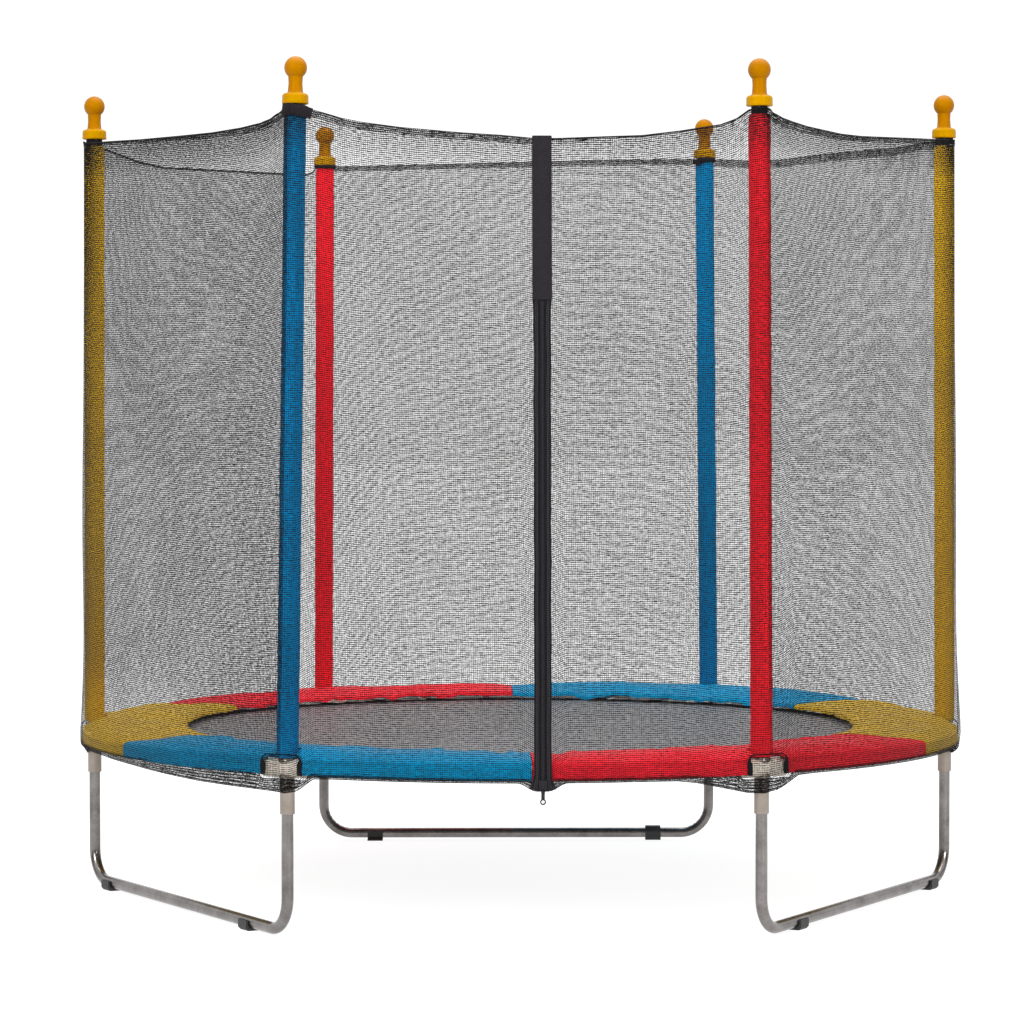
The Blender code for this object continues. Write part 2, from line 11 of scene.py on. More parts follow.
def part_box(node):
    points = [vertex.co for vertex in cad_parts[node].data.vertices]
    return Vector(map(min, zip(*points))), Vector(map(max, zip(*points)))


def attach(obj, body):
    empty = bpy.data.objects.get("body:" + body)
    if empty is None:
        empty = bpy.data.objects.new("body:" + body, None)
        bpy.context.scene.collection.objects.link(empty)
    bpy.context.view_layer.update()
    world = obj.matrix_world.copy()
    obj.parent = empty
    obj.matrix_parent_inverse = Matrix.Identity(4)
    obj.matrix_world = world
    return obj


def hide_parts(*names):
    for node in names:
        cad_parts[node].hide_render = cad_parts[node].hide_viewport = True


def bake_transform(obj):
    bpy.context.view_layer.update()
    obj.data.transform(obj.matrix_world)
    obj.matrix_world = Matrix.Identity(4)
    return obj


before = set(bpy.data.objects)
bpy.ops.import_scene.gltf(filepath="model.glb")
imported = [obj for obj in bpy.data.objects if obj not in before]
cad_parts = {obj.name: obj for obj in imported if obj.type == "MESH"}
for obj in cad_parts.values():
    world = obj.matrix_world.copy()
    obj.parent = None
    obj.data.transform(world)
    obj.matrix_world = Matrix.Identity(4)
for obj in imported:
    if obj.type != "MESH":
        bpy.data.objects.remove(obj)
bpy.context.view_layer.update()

CORNERS = ("right", "back_right", "back_left", "left", "front_left", "front_right")
COLOUR_OF = dict(zip(CORNERS, ("yellow", "blue", "red", "yellow", "blue", "red")))
SIDES = ("right_back", "back", "left_back", "left_front", "front", "right_front")
LEGS = {"leg_back": (1, 2), "leg_left": (3, 4), "leg_right": (5, 0)}  # the corners that each one joins
SPRINGS = 36
UP = np.array((0, 0, 1.0))


def node_points(name):
    """All vertices of a CAD node, as rows of x, y, z."""
    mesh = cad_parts[name].data
    flat = np.empty(len(mesh.vertices) * 3)
    mesh.vertices.foreach_get("co", flat)
    return flat.reshape(-1, 3)


def axis_ends(name, depth=0.002):
    """The middle of the lowest and of the highest ring of points of an upright CAD node."""
    points = node_points(name)
    heights = points[:, 2]
    low = points[heights < heights.min() + depth].mean(axis=0)
    high = points[heights > heights.max() - depth].mean(axis=0)
    return low, high


def node_radii(name):
    return np.hypot(*node_points(name)[:, :2].T)


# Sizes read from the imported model
MAT_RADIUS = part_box("mat")[1][0]
MAT_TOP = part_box("mat")[1][2]
RING_RADIUS = float(np.linalg.norm(axis_ends("pole_right")[0][:2]))
RING_LOW, RING_HIGH = (corner[2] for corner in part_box("ring_tube_back"))
RING_HEIGHT = (RING_LOW + RING_HIGH) / 2
RING_TUBE = (RING_HIGH - RING_LOW) / 2
PAD_OUTER = float(node_radii("pad_right").max())
PAD_INNER = float(node_radii("pad_right").min())
PAD_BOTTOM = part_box("pad_right")[0][2]
SPRING_END = float(node_radii("springs").max())

# Sizes repeated from the design, in metres
RING_END_GAP = 0.0125  # from a pole's axis to the nearest ring tube end
SLEEVE_HALF, SLEEVE_OUTER, SLEEVE_BORE = 0.039, 0.0138, 0.0119
SOCKET_OUTER, SOCKET_BORE = 0.0110, 0.0096
LEG_TUBE, LEG_BEND, BAR_HEIGHT = 0.0088, 0.050, 0.0122
CLIP_HALF = 0.0125
POLE_BORE = 0.0094  # of foam sleeves and caps
FOAM_OUTER = 0.0162
CAP_BALL, CAP_NECK, CAP_COLLAR = 0.0166, 0.0103, 0.0195
SPRING_START = 0.5925
PAD_TURN = math.radians(0.75)


# ---------------- mesh tools


def unit(rows):
    return rows / np.maximum(np.linalg.norm(rows, axis=-1, keepdims=True), 1e-12)


def smoothstep(low, high, x):
    t = np.clip((np.asarray(x, dtype=float) - low) / (high - low), 0, 1)
    return t * t * (3 - 2 * t)


def noise_at(points, scale, offset):
    return np.array([noise.noise(Vector(point) * scale + Vector(offset)) for point in points])


def noise_along(values, scale, *offset):
    return np.array([noise.noise(Vector((value * scale, *offset))) for value in values])


def wobble(points, scale, seed):
    """Smooth noise of about -1 to 1 at each point."""
    values = noise_at(points.reshape(-1, 3), scale, (seed * 7.31, seed * 3.17, seed * 1.73))
    return values.reshape(points.shape[:-1]) * 1.6


def turn_angles(sides):
    return np.arange(sides) * math.tau / sides


def around(radius, angle, height=0.0):
    """Points at a radius, angle and height, which may be arrays that broadcast."""
    radius, angle, height = np.broadcast_arrays(radius, angle, height)
    return np.stack([radius * np.cos(angle), radius * np.sin(angle), height], axis=-1)


def circle(radius, sides):
    return around(radius, turn_angles(sides))[:, :2]


def arc(radius, start, end, steps, centre=(0.0, 0.0)):
    """Points (x, y) of an arc between two angles in degrees."""
    return (around(radius, np.radians(np.linspace(start, end, steps)))[:, :2] + centre).tolist()


def placed(points, matrix):
    matrix = np.array(matrix)
    return np.asarray(points) @ matrix[:3, :3].T + matrix[:3, 3]


def add_object(name, mesh, materials):
    made = bpy.data.objects.new(name, mesh)
    bpy.context.collection.objects.link(made)
    for material in materials if isinstance(materials, list) else [materials]:
        mesh.materials.append(material)
    return made


def grid_parts(points, wrap_rows=False, wrap_columns=False, caps=False, uv=None):
    """Vertices, faces and a UV for each face corner, of a grid of points given as [row][column]."""
    rows, columns = points.shape[:2]
    if uv is None:
        along = np.linalg.norm(np.diff(points, axis=0, append=points[:1]), axis=2).mean(axis=1)
        across = np.linalg.norm(np.diff(points, axis=1, append=points[:, :1]), axis=2).mean(axis=0)
        u = np.concatenate([[0], np.cumsum(along)])
        v = np.concatenate([[0], np.cumsum(across)])
        uv = np.stack(np.meshgrid(u, v, indexing="ij"), axis=2)
    else:
        uv = np.pad(uv, ((0, 1), (0, 1), (0, 0)), mode="edge")
    row_steps = np.arange(rows if wrap_rows else rows - 1)
    column_steps = np.arange(columns if wrap_columns else columns - 1)
    i, j = (steps.ravel() for steps in np.meshgrid(row_steps, column_steps, indexing="ij"))
    ring = ((i, j), (i, j + 1), (i + 1, j + 1), (i + 1, j))
    faces = np.stack([(a % rows) * columns + b % columns for a, b in ring], axis=1).tolist()
    loops = np.stack([uv[a, b] for a, b in ring], axis=1).reshape(-1, 2).tolist()
    if caps:
        faces.append(list(range(columns))[::-1])
        faces.append([(rows - 1) * columns + column for column in range(columns)])
        loops += uv[0, :columns][::-1].tolist() + uv[rows - 1, :columns].tolist()
    return points.reshape(-1, 3), faces, loops


def build(name, parts, materials, sharp=None):
    """One object made of several grids, each with an optional material slot as its fourth item."""
    verts, faces, loops, slots, start = [], [], [], [], 0
    for points, part_faces, part_loops, *slot in parts if isinstance(parts, list) else [parts]:
        verts.append(points)
        faces += [[start + index for index in face] for face in part_faces]
        loops += part_loops
        slots += [slot[0] if slot else 0] * len(part_faces)
        start += len(points)
    mesh = bpy.data.meshes.new(name)
    mesh.from_pydata(np.concatenate(verts).tolist(), [], faces)
    mesh.polygons.foreach_set("material_index", slots)
    mesh.uv_layers.new(name="UVMap").data.foreach_set("uv", np.asarray(loops, dtype=float).ravel())
    mesh.update()
    soften(mesh, sharp)
    return add_object(name, mesh, materials)


def soften(mesh, sharp):
    mesh.shade_smooth()
    if sharp:
        mesh.set_sharp_from_angle(angle=math.radians(sharp))


def face_out(obj):
    """Turns the faces of a closed mesh outwards."""
    bm = bmesh.new()
    bm.from_mesh(obj.data)
    bmesh.ops.recalc_face_normals(bm, faces=bm.faces)
    bm.to_mesh(obj.data)
    bm.free()
    return obj


def path_frames(path, closed=False, first=None):
    """Side and up vectors along a path, carried along without twist."""
    if closed:
        tangents = unit(np.roll(path, -1, axis=0) - np.roll(path, 1, axis=0))
    else:
        tangents = unit(np.gradient(path, axis=0))
    side = np.empty_like(tangents)
    current = np.array(UP if first is None else first, dtype=float)
    if abs(np.dot(unit(current), tangents[0])) > 0.95:
        current = np.array((1.0, 0.13, 0))
    for index, tangent in enumerate(tangents):
        current = current - tangent * np.dot(current, tangent)
        current = current / np.linalg.norm(current)
        side[index] = current
    return side, np.cross(tangents, side)


def sweep(path, section, closed=False, first=None, scale=None):
    """A closed section of (x, y) points carried along a path; x goes with the first direction."""
    path, section = np.asarray(path, dtype=float), np.asarray(section, dtype=float)[None]
    side, up = path_frames(path, closed, first)
    if scale is not None:
        section = section * scale[:, None, None]
    points = path[:, None] + side[:, None] * section[..., :1] + up[:, None] * section[..., 1:]
    return grid_parts(points, wrap_rows=closed, wrap_columns=True, caps=not closed)


def slab(width, thickness):
    """A flat section with rounded edges: width along x and thickness along y."""
    w, t = width / 2, thickness / 2
    r = min(t, w) * 0.6
    return [(-w + r, -t), (w - r, -t), (w, -t + r), (w, t - r), (w - r, t), (-w + r, t), (-w, t - r), (-w, -t + r)]


def resample(points, spacing):
    """The same route with its points evenly spaced."""
    points = np.asarray(points, dtype=float)
    lengths = path_lengths(points)
    count = max(2, int(round(lengths[-1] / spacing)) + 1)
    at = np.linspace(0, lengths[-1], count)
    return np.stack([np.interp(at, lengths, points[:, axis]) for axis in range(points.shape[1])], axis=1)


def path_lengths(points):
    return np.concatenate([[0], np.cumsum(np.linalg.norm(np.diff(points, axis=0), axis=1))])


def smooth_path(points, spacing):
    """A smooth curve through the points."""
    points = np.asarray(points, dtype=float)
    padded = np.concatenate([[2 * points[0] - points[1]], points, [2 * points[-1] - points[-2]]])
    out = []
    for index in range(1, len(padded) - 2):
        p0, p1, p2, p3 = padded[index - 1 : index + 3]
        slope, bend, twist = p2 - p0, 2 * p0 - 5 * p1 + 4 * p2 - p3, 3 * p1 - p0 - 3 * p2 + p3
        for t in np.linspace(0, 1, 12, endpoint=False):
            out.append(0.5 * (2 * p1 + slope * t + bend * t**2 + twist * t**3))
    out.append(points[-1])
    return resample(out, spacing)


def turned(profile, sides, matrix=None, closed=False):
    """A profile of (radius, height) points turned about Z."""
    profile = np.asarray(profile, dtype=float)
    points = around(profile[:, :1], turn_angles(sides), profile[:, 1:])
    if matrix is not None:
        points = placed(points, matrix)
    return grid_parts(points, wrap_rows=closed, wrap_columns=True, caps=not closed)


def finish_piece(obj, body, slot, *nodes):
    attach(obj, body)
    if nodes:
        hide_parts(*nodes)
    return obj


# ---------------- materials


class Paint:
    """A Principled material with short calls for its nodes."""

    def __init__(self, name, **values):
        self.material = bpy.data.materials.new(name)
        self.material.use_nodes = True
        self.tree = self.material.node_tree
        self.shader = self.tree.nodes["Principled BSDF"]
        self.set(**values)

    def set(self, **values):
        for key, value in values.items():
            self.shader.inputs[key.replace("_", " ")].default_value = value

    def tint(self, colour):
        """Gives the highlights the colour's own hue."""
        self.set(Specular_Tint=(*(part / max(colour) for part in colour), 1.0))

    def fill(self, socket, value):
        if isinstance(value, (int, float)):
            socket.default_value = value
        elif isinstance(value, tuple):
            socket.default_value = (*value, 1.0)
        else:
            self.tree.links.new(value, socket)

    def node(self, kind, *links, **settings):
        made = self.tree.nodes.new("ShaderNode" + kind)
        for key, value in settings.items():
            if hasattr(made, key):
                setattr(made, key, value)
            else:
                made.inputs[key].default_value = value
        for socket, link in zip(made.inputs, links):
            self.fill(socket, link)
        return made

    def math(self, operation, *values):
        return self.node("Math", *values, operation=operation).outputs[0]

    def times(self, value, *factors):
        for factor in factors:
            value = self.math("MULTIPLY", value, factor)
        return value

    def wave(self, value, pitch):
        return self.math("SINE", self.times(value, math.tau / pitch))

    def uv(self):
        return self.node("UVMap").outputs[0]

    def split(self, value):
        return self.node("SeparateXYZ", value).outputs

    def place(self):
        return self.node("TexCoord").outputs["Object"]

    def noise(self, where, scale, detail=3.0, roughness=0.5, stretch=None):
        if stretch:
            where = self.node("Mapping", where, Scale=stretch).outputs[0]
        return self.node("TexNoise", where, Scale=scale, Detail=detail, Roughness=roughness).outputs[0]

    def span(self, value, low, high, start=0.3, end=0.7):
        """Maps start to end onto low to high."""
        return self.node("MapRange", value, start, end, low, high).outputs[0]

    def mix(self, factor, a, b, mode="MIX"):
        made = self.node("Mix", data_type="RGBA", blend_type=mode)
        for index, value in ((0, factor), (6, a), (7, b)):
            self.fill(made.inputs[index], value)
        return made.outputs[2]

    def link(self, value, socket):
        self.tree.links.new(value, self.shader.inputs[socket])

    def shade(self, colour, *shades):
        """The colour, made lighter and darker by shades around 1."""
        grey = self.times(*shades)
        grey = self.node("CombineColor", grey, grey, grey).outputs[0]
        self.link(self.mix(1.0, colour, grey, "MULTIPLY"), "Base Color")

    def bump(self, height, distance, strength=1.0, after=None):
        made = self.node("Bump", Distance=distance, Strength=strength)
        self.tree.links.new(height, made.inputs["Height"])
        if after is not None:
            self.tree.links.new(after, made.inputs["Normal"])
        return made.outputs[0]

    def rough(self, value, low, high):
        self.link(self.span(value, low, high), "Roughness")


def weave_height(paint, where, pitch):
    """A plain weave's height from coordinates in metres."""
    parts = paint.split(where)
    return paint.times(paint.wave(parts[0], pitch), paint.wave(parts[1], pitch))


def fabric(name, colour, pitch=0.0014, shine=0.16, crinkle=0.0012, spread=0.12):
    paint = Paint(name, Specular_IOR_Level=shine)
    paint.tint(colour)
    where = paint.place()
    weave = weave_height(paint, paint.uv(), pitch)
    broad = paint.noise(where, 9.0, 4.0)
    fine = paint.span(paint.noise(where, 420.0, 2.0), 0.93, 1.07, 0.2, 0.8)
    cloud = paint.span(broad, 1 - spread, 1 + spread, 0.25, 0.75)
    paint.shade(colour, cloud, fine, paint.span(weave, 0.90, 1.06, -1.0, 1.0))
    paint.rough(broad, 0.42, 0.58)
    normal = paint.bump(paint.noise(where, 55.0, 5.0, 0.6), crinkle, 0.8)
    paint.link(paint.bump(weave, 0.00018, 0.8, normal), "Normal")
    return paint.material


def steel(name, colour, roughness, stretch=(60, 60, 6), dull=0.5, metallic=1.0):
    """Galvanised or plated tube: cloudy, with fine drawing lines and a few dull marks."""
    paint = Paint(name, Metallic=metallic)
    where = paint.place()
    cloud = paint.noise(where, 35.0, 4.0, 0.6)
    lines = paint.noise(where, 30.0, 3.0, 0.7, stretch=stretch)
    marks = paint.noise(where, 260.0, 2.0)
    dark, darkest = (tuple(part * share for part in colour) for share in (dull, 0.35))
    base = paint.mix(paint.span(cloud, 0.0, 1.0, 0.3, 0.72), dark, colour)
    paint.link(paint.mix(paint.span(marks, 0.0, 0.35, 0.62, 0.8), base, darkest), "Base Color")
    paint.rough(lines, roughness - 0.08, roughness + 0.14)
    normal = paint.bump(cloud, 0.0004, 0.35)
    paint.link(paint.bump(lines, 0.0001, 0.5, normal), "Normal")
    return paint.material


def moulded(name, colour, roughness, grain=900.0, depth=0.00012, shine=0.5, tinted=False):
    paint = Paint(name, Specular_IOR_Level=shine)
    if tinted:
        paint.tint(colour)
    where = paint.place()
    speck = paint.noise(where, grain, 2.0)
    paint.shade(colour, paint.span(paint.noise(where, 25.0), 0.92, 1.08))
    paint.rough(speck, roughness - 0.06, roughness + 0.08)
    paint.link(paint.bump(speck, depth, 0.6), "Normal")
    return paint.material


def webbing_paint(name, colour, pitch=0.0016):
    """Ribbed tape: ribs run across the tape, with a woven edge."""
    paint = Paint(name, Specular_IOR_Level=0.10)
    parts = paint.split(paint.uv())
    ribs = paint.wave(parts[0], pitch)
    height = paint.math("ADD", ribs, paint.times(paint.wave(parts[1], pitch * 1.4), 0.4))
    cloud = paint.noise(paint.place(), 140.0)
    paint.shade(colour, paint.span(height, 0.65, 1.25, -1.4, 1.4), paint.span(cloud, 0.8, 1.2))
    paint.rough(cloud, 0.65, 0.85)
    paint.link(paint.bump(height, 0.0002, 0.9), "Normal")
    return paint.material


def mat_paint():
    paint = Paint("mat_black", Specular_IOR_Level=0.8, Sheen_Weight=0.3, Sheen_Roughness=0.5)
    where = paint.place()
    weave = weave_height(paint, where, 0.0022)
    cloud = paint.noise(where, 5.0, 4.0)
    shades = paint.span(weave, 0.6, 1.4, -1.0, 1.0), paint.span(cloud, 0.85, 1.15)
    paint.shade((0.022, 0.021, 0.024), *shades)
    paint.rough(cloud, 0.32, 0.42)
    paint.link(paint.bump(weave, 0.0002, 0.6), "Normal")
    return paint.material


NET_PITCH = 0.0030
NET_WIDTH = 0.700
NET_HEIGHT = 0.965
THREAD_DARK, THREAD_LIGHT = (0.0016, 0.0015, 0.0018), (0.0040, 0.0036, 0.0044)


def net_paint(
    name, rise_cover, run_cover, bunch=(0.0, 0.0), skew=0.0, low=1.0, reach_up=0.1, pitch=NET_PITCH,
    uneven_by=0.75, dashes=True,
):
    """Open mesh of black threads: rise_cover is the share hidden by level threads, run_cover by upright ones.

    bunch makes the threads thicker by either pole, and low at the foot, up to reach_up.
    """
    paint = Paint(name, Roughness=0.8, Specular_IOR_Level=0.1)
    across, up, _ = paint.split(paint.uv())
    where = paint.place()
    stray_u, stray_v = (
        paint.times(paint.math("SUBTRACT", paint.noise(where, scale, 2.0), 0.5), pitch * size)
        for scale, size in ((40.0, 1.2), (30.0, 1.5))
    )
    u = paint.math("ADD", paint.math("ADD", across, stray_u), paint.times(up, skew))
    v = paint.math("ADD", up, stray_v)
    patch = paint.span(paint.noise(where, 7.0), 0.94, 1.06)
    if low != 1.0:
        by_foot = paint.span(v, low, 1.0, 0.0, reach_up)
        patch = paint.times(patch, by_foot, paint.span(v, 1.0, 1.6, NET_HEIGHT - 0.06, NET_HEIGHT))
    for amount, reach in zip(bunch, (across, paint.math("SUBTRACT", NET_WIDTH, across))):
        if amount:
            near = paint.math("POWER", 2.0, paint.times(paint.math("POWER", reach, 2.0), -480.0))
            patch = paint.times(patch, paint.math("ADD", 1.0, paint.times(near, amount)))
    masks = []
    threads = ((v, rise_cover, pitch, (150.0, 460.0, 1.0)), (u, run_cover, pitch * 0.86, (460.0, 260.0, 1.0)))
    for coordinate, cover, repeat, grain in threads:
        uneven = paint.noise(paint.uv(), 1.0, 2.0, stretch=grain if dashes else (420.0, 420.0, 1.0))
        uneven = paint.span(uneven, 1 - uneven_by, 1 + uneven_by)
        phase = paint.math("PINGPONG", paint.math("DIVIDE", coordinate, repeat), 0.5)
        edge = paint.math("SUBTRACT", paint.times(patch, uneven, cover / 2), phase)
        masks.append(paint.span(edge, 0.0, 1.0, -0.10, 0.10))
    paint.link(paint.math("MAXIMUM", *masks), "Alpha")
    twist = paint.noise(where, 900.0, 1.0)
    paint.link(paint.mix(paint.span(twist, 0.0, 1.0), THREAD_DARK, THREAD_LIGHT), "Base Color")
    paint.link(paint.bump(twist, 0.0003, 0.5), "Normal")
    return paint.material


PAD_HUES = {"blue": (0.001, 0.235, 0.450), "red": (0.760, 0.016, 0.030), "yellow": (0.560, 0.350, 0.020)}
FOAM_HUES = {"blue": (0.0006, 0.172, 0.390), "red": (0.840, 0.014, 0.026), "yellow": (0.780, 0.450, 0.008)}
pad_paint = {key: fabric(f"pad_{key}", hue) for key, hue in PAD_HUES.items()}
foam_paint = {key: fabric(f"foam_{key}", hue, 0.0011, 0.04, 0.0006, 0.08) for key, hue in FOAM_HUES.items()}
zinc = steel("zinc_tube", (0.258, 0.240, 0.233), 0.20)
joint_zinc = steel("joint_zinc", (0.305, 0.262, 0.225), 0.34, dull=0.7, metallic=0.75)
# The sleeve is the same zinc as the joint's socket, painted much paler and less metallic: painted light for the light
# the level sleeve catches from above, lifting it out of the shade under the pad.
sleeve_zinc_painted_lit = steel("sleeve_zinc_painted_lit", (0.80, 0.72, 0.61), 0.45, dull=0.8, metallic=0.3)
spring_steel = steel("spring_steel", (0.60, 0.59, 0.57), 0.28, (40, 40, 40))
cap_plastic = moulded("cap_yellow", (0.265, 0.102, 0.0001), 0.38, shine=0.14, tinted=True)
collar_plastic = moulded("cap_collar_yellow", (0.320, 0.155, 0.0001), 0.40, shine=0.14, tinted=True)
clip_rubber = moulded("clip_black", (0.016, 0.016, 0.016), 0.6, 700.0, 0.0002)
coil_paint = moulded("coil_black", (0.012, 0.012, 0.015), 0.45, 1500.0, 0.00005, shine=0.25)
zip_metal = moulded("zip_metal", (0.014, 0.013, 0.016), 0.42, 900.0, 0.00006, shine=0.12)
thread_paint = moulded("thread_grey", (0.10, 0.10, 0.10), 0.7, 2500.0, 0.00005)
thread_dark = moulded("thread_black", (0.035, 0.034, 0.037), 0.6, 2500.0, 0.00005)
webbing = webbing_paint("webbing_black", (0.009, 0.007, 0.009))
tape_paint = webbing_paint("zip_tape_black", (0.013, 0.0115, 0.014), 0.0010)
binding_paint = webbing_paint("binding_black", (0.007, 0.006, 0.008), 0.0012)
mat_black = mat_paint()
net_paints = {
    "front": net_paint("net_front", 0.345, 0.19, low=0.9),
    "left_front": net_paint("net_left_front", 0.42, 0.44, (0.20, 0.0), low=0.6, reach_up=0.15),
    "right_front": net_paint("net_right_front", 0.38, 0.33, (0.0, 0.30), low=0.85),
    "back": net_paint("net_back", 0.22, 0.14),
    "left_back": net_paint("net_left_back", 0.20, 0.13, (0.0, 0.3)),
    "right_back": net_paint("net_right_back", 0.20, 0.13, (0.3, 0.0)),
}
net_fold = net_paint("net_fold", 0.26, 0.20, skew=0.3)
net_foot = net_paint("net_foot", 0.34, 0.32, skew=0.35, pitch=0.0024, uneven_by=0.6, dashes=False)


# ---------------- ring, joints, legs


def corner_azimuth(index):
    return math.radians(60 * index)


def corner_point(index, height=0.0):
    return around(RING_RADIUS, corner_azimuth(index), height)


def ring_arc(start, end, height, steps):
    return around(RING_RADIUS, np.radians(np.linspace(start, end, steps + 1)), height)


def build_ring():
    end = math.degrees(RING_END_GAP / RING_RADIUS)
    for index, side in enumerate(SIDES):
        path = ring_arc(60 * index + end, 60 * index + 60 - end, RING_HEIGHT, 44)
        tube = build(f"ring_{side}", sweep(path, circle(RING_TUBE, 24)), zinc, sharp=50)
        finish_piece(tube, "frame", "zinc_tube", f"ring_tube_{side}")


def weld_beads(across, along, bead):
    """The lines where an upright tube of radius across meets a level tube of radius along."""
    x, y = circle(across, 64).T
    ripple = 1 + 0.22 * np.sin(16 * turn_angles(64))
    parts = []
    for sign in (1, -1):
        line = np.stack([x * 1.03, y * 1.03, sign * np.sqrt(np.maximum(along**2 - x**2, 0))], axis=1)
        parts.append(sweep(line, circle(bead, 8), closed=True, scale=ripple))
    return parts


def ring_shell(path, outer, inner):
    """A tube with a wall: the outer skin, the end faces and the bore in one closed grid."""
    side, up = path_frames(path)
    skins = [
        path[:, None] + side[:, None] * section[:, :1] + up[:, None] * section[:, 1:]
        for section in (circle(outer, 36), circle(inner, 36))
    ]
    return grid_parts(np.concatenate([skins[0], skins[1][::-1]]), wrap_rows=True, wrap_columns=True)


def build_joints():
    half = math.degrees(SLEEVE_HALF / RING_RADIUS)
    path = ring_arc(-half, half, 0, 20) - (RING_RADIUS, 0, 0)
    lip, edge = 0.0006, 0.0003
    for index, corner in enumerate(CORNERS):
        node = f"corner_joint_{corner}"
        lower, upper = (end[2] - RING_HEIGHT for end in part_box(node))
        wall = [(SOCKET_BORE, lip), (SOCKET_BORE + edge, 0), (SOCKET_OUTER - edge, 0), (SOCKET_OUTER, lip)]
        profile = [(radius, lower + inset) for radius, inset in wall]
        profile += [(radius, upper - inset) for radius, inset in wall[::-1]]
        # Slot 1 gives the sleeve its paler zinc, painted light.
        parts = [(*ring_shell(path, SLEEVE_OUTER, SLEEVE_BORE), 1), turned(profile, 36, closed=True)]
        parts += weld_beads(SOCKET_OUTER, SLEEVE_OUTER, 0.0016)
        turn = Matrix.Rotation(corner_azimuth(index), 4, "Z")
        matrix = Matrix.Translation(corner_point(index, RING_HEIGHT)) @ turn
        parts = [(placed(points, matrix), *rest) for points, *rest in parts]
        joint = face_out(build(f"joint_{corner}", parts, [joint_zinc, sleeve_zinc_painted_lit], sharp=45))
        finish_piece(joint, "frame", "joint_zinc", node)


def leg_route(length, top, bar):
    """Upright, big bend, bar on the floor, big bend, upright; and how far each point is into a bend."""
    low = bar + LEG_BEND
    down = [(0, height) for height in np.linspace(top, low, 16, endpoint=False)]
    along = [(x, bar) for x in np.linspace(LEG_BEND, length - LEG_BEND, 60)[1:-1]]
    up = [(length, height) for height in np.linspace(low, top, 17)[1:]]
    first, second = (
        arc(LEG_BEND, start, start + 90, 19, (centre, low))
        for start, centre in ((180, LEG_BEND), (270, length - LEG_BEND))
    )
    bend = np.sin(np.linspace(0, math.pi, 19))
    bends = [np.zeros(len(down)), bend, np.zeros(len(along)), bend, np.zeros(len(up))]
    return np.array(down + first + along + second + up), np.concatenate(bends)[:, None]


def build_legs():
    """Bent tubes, a little flattened and crimped on the inside of each bend."""
    angles = turn_angles(28)
    cosine, sine = np.cos(angles), np.sin(angles)
    for name, corners in LEGS.items():
        low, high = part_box(name)
        start, end = (corner_point(index) for index in corners)
        span = np.linalg.norm(end - start)
        level = unit(end - start)
        route, bends = leg_route(span, high[2], low[2] + LEG_TUBE)
        path = start + level * route[:, :1] + UP * route[:, 1:]
        across = np.cross(level, UP)
        inward = np.cross(across, unit(np.gradient(path, axis=0)))
        middle = start + level * span / 2 + UP * 0.12
        towards = np.where((inward * (middle - path)).sum(axis=1) > 0, 1.0, -1.0)[:, None]
        ripple = np.sin(path_lengths(path) * math.tau / 0.0105)[:, None]
        crimp = 0.00055 * bends * np.clip(cosine * towards, 0, 1) ** 2 * ripple
        radius = LEG_TUBE * (1 - 0.05 * bends * np.abs(cosine)) - crimp
        rows = path[:, None] + inward[:, None] * (radius * cosine)[..., None] + across * (radius * sine)[..., None]
        leg = build(f"{name}_tube", grid_parts(rows, wrap_columns=True, caps=True), zinc, sharp=60)
        finish_piece(face_out(leg), "frame", "zinc_tube", name)


def saddle_outline(top, flange):
    """A saddle's section as (inwards, up), with a thin flange on the floor, open over the bar."""
    half = CLIP_HALF
    outline = [(-half + 0.0004, top), (-half, top - 0.0005), (-half, 0.0050), (-half + 0.0010, 0.0030), (-0.0085, 0.0)]
    outline += [(flange - 0.0006, 0.0), (flange, 0.0006), (flange, 0.0020), (flange - 0.0006, 0.0026)]
    outline += [(half + 0.0015, 0.0036), (half, 0.0055), (half, top - 0.0005), (half - 0.0004, top)]
    return np.array(outline + arc(0.0091, 27, -207, 27, (0, BAR_HEIGHT)))


def block_outlines():
    """The closed clip at the back right: its outer section, and the bar's hole with as many points."""
    outline = [(-CLIP_HALF, 0.0195), (-CLIP_HALF, 0.0050), (-0.0085, 0.0), (0.0120, 0.0), (0.0128, 0.0010)]
    outline += [(0.0128, 0.0160), (0.0122, 0.0168), (0.0086, 0.0236), (0.0078, 0.0242), (-0.0090, 0.0242)]
    outer = resample(outline + outline[:1], 0.0012)[:-1]
    turn = np.arctan2(outer[:, 1] - BAR_HEIGHT, outer[:, 0])
    return outer, around(0.0090, turn)[:, :2] + (0, BAR_HEIGHT)


def build_clips():
    """Plastic feet: a saddle round the bar on a thin base that reaches inwards."""
    soft = 0.0007
    for corners in LEGS.values():
        start, end = (corner_point(index) for index in corners)
        along = unit(end - start)
        inwards = np.cross(UP, along)
        for corner in (CORNERS[index] for index in corners):
            node = f"foot_clip_{corner}"
            offset = node_points(node) - start
            low, high = (offset @ along).min(), (offset @ along).max()
            closed = corner == "back_right"
            if closed:
                outline, hole = block_outlines()
            else:
                outline = saddle_outline(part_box(node)[1][2], float((offset @ inwards).max()))
            stations = [(low, 0.965), (low + soft, 1.0), (high - soft, 1.0), (high, 0.965)]
            rings = [(station, outline * (1, scale)) for station, scale in stations]
            if closed:
                rings += [(high, hole), (low, hole)]
            rows = [start + along * station + inwards * ring[:, :1] + UP * ring[:, 1:] for station, ring in rings]
            part = grid_parts(np.array(rows), wrap_rows=closed, wrap_columns=True, caps=not closed)
            piece = face_out(build(f"clip_{corner}", part, clip_rubber, sharp=35))
            finish_piece(piece, "frame", "clip_black", node)


build_ring()
build_joints()
build_legs()
build_clips()


# ---------------- poles, foam, caps


def pole_matrix(corner):
    """A frame at the foot of the pole's axis, +Z up the pole and +X away from the mat."""
    low, high = axis_ends(f"pole_{corner}")
    up = unit(high - low)
    out = around(1.0, corner_azimuth(CORNERS.index(corner)))
    out = unit(out - up * np.dot(out, up))
    matrix = np.eye(4)
    matrix[:3] = np.stack([out, np.cross(up, out), up, low], axis=1)
    return matrix


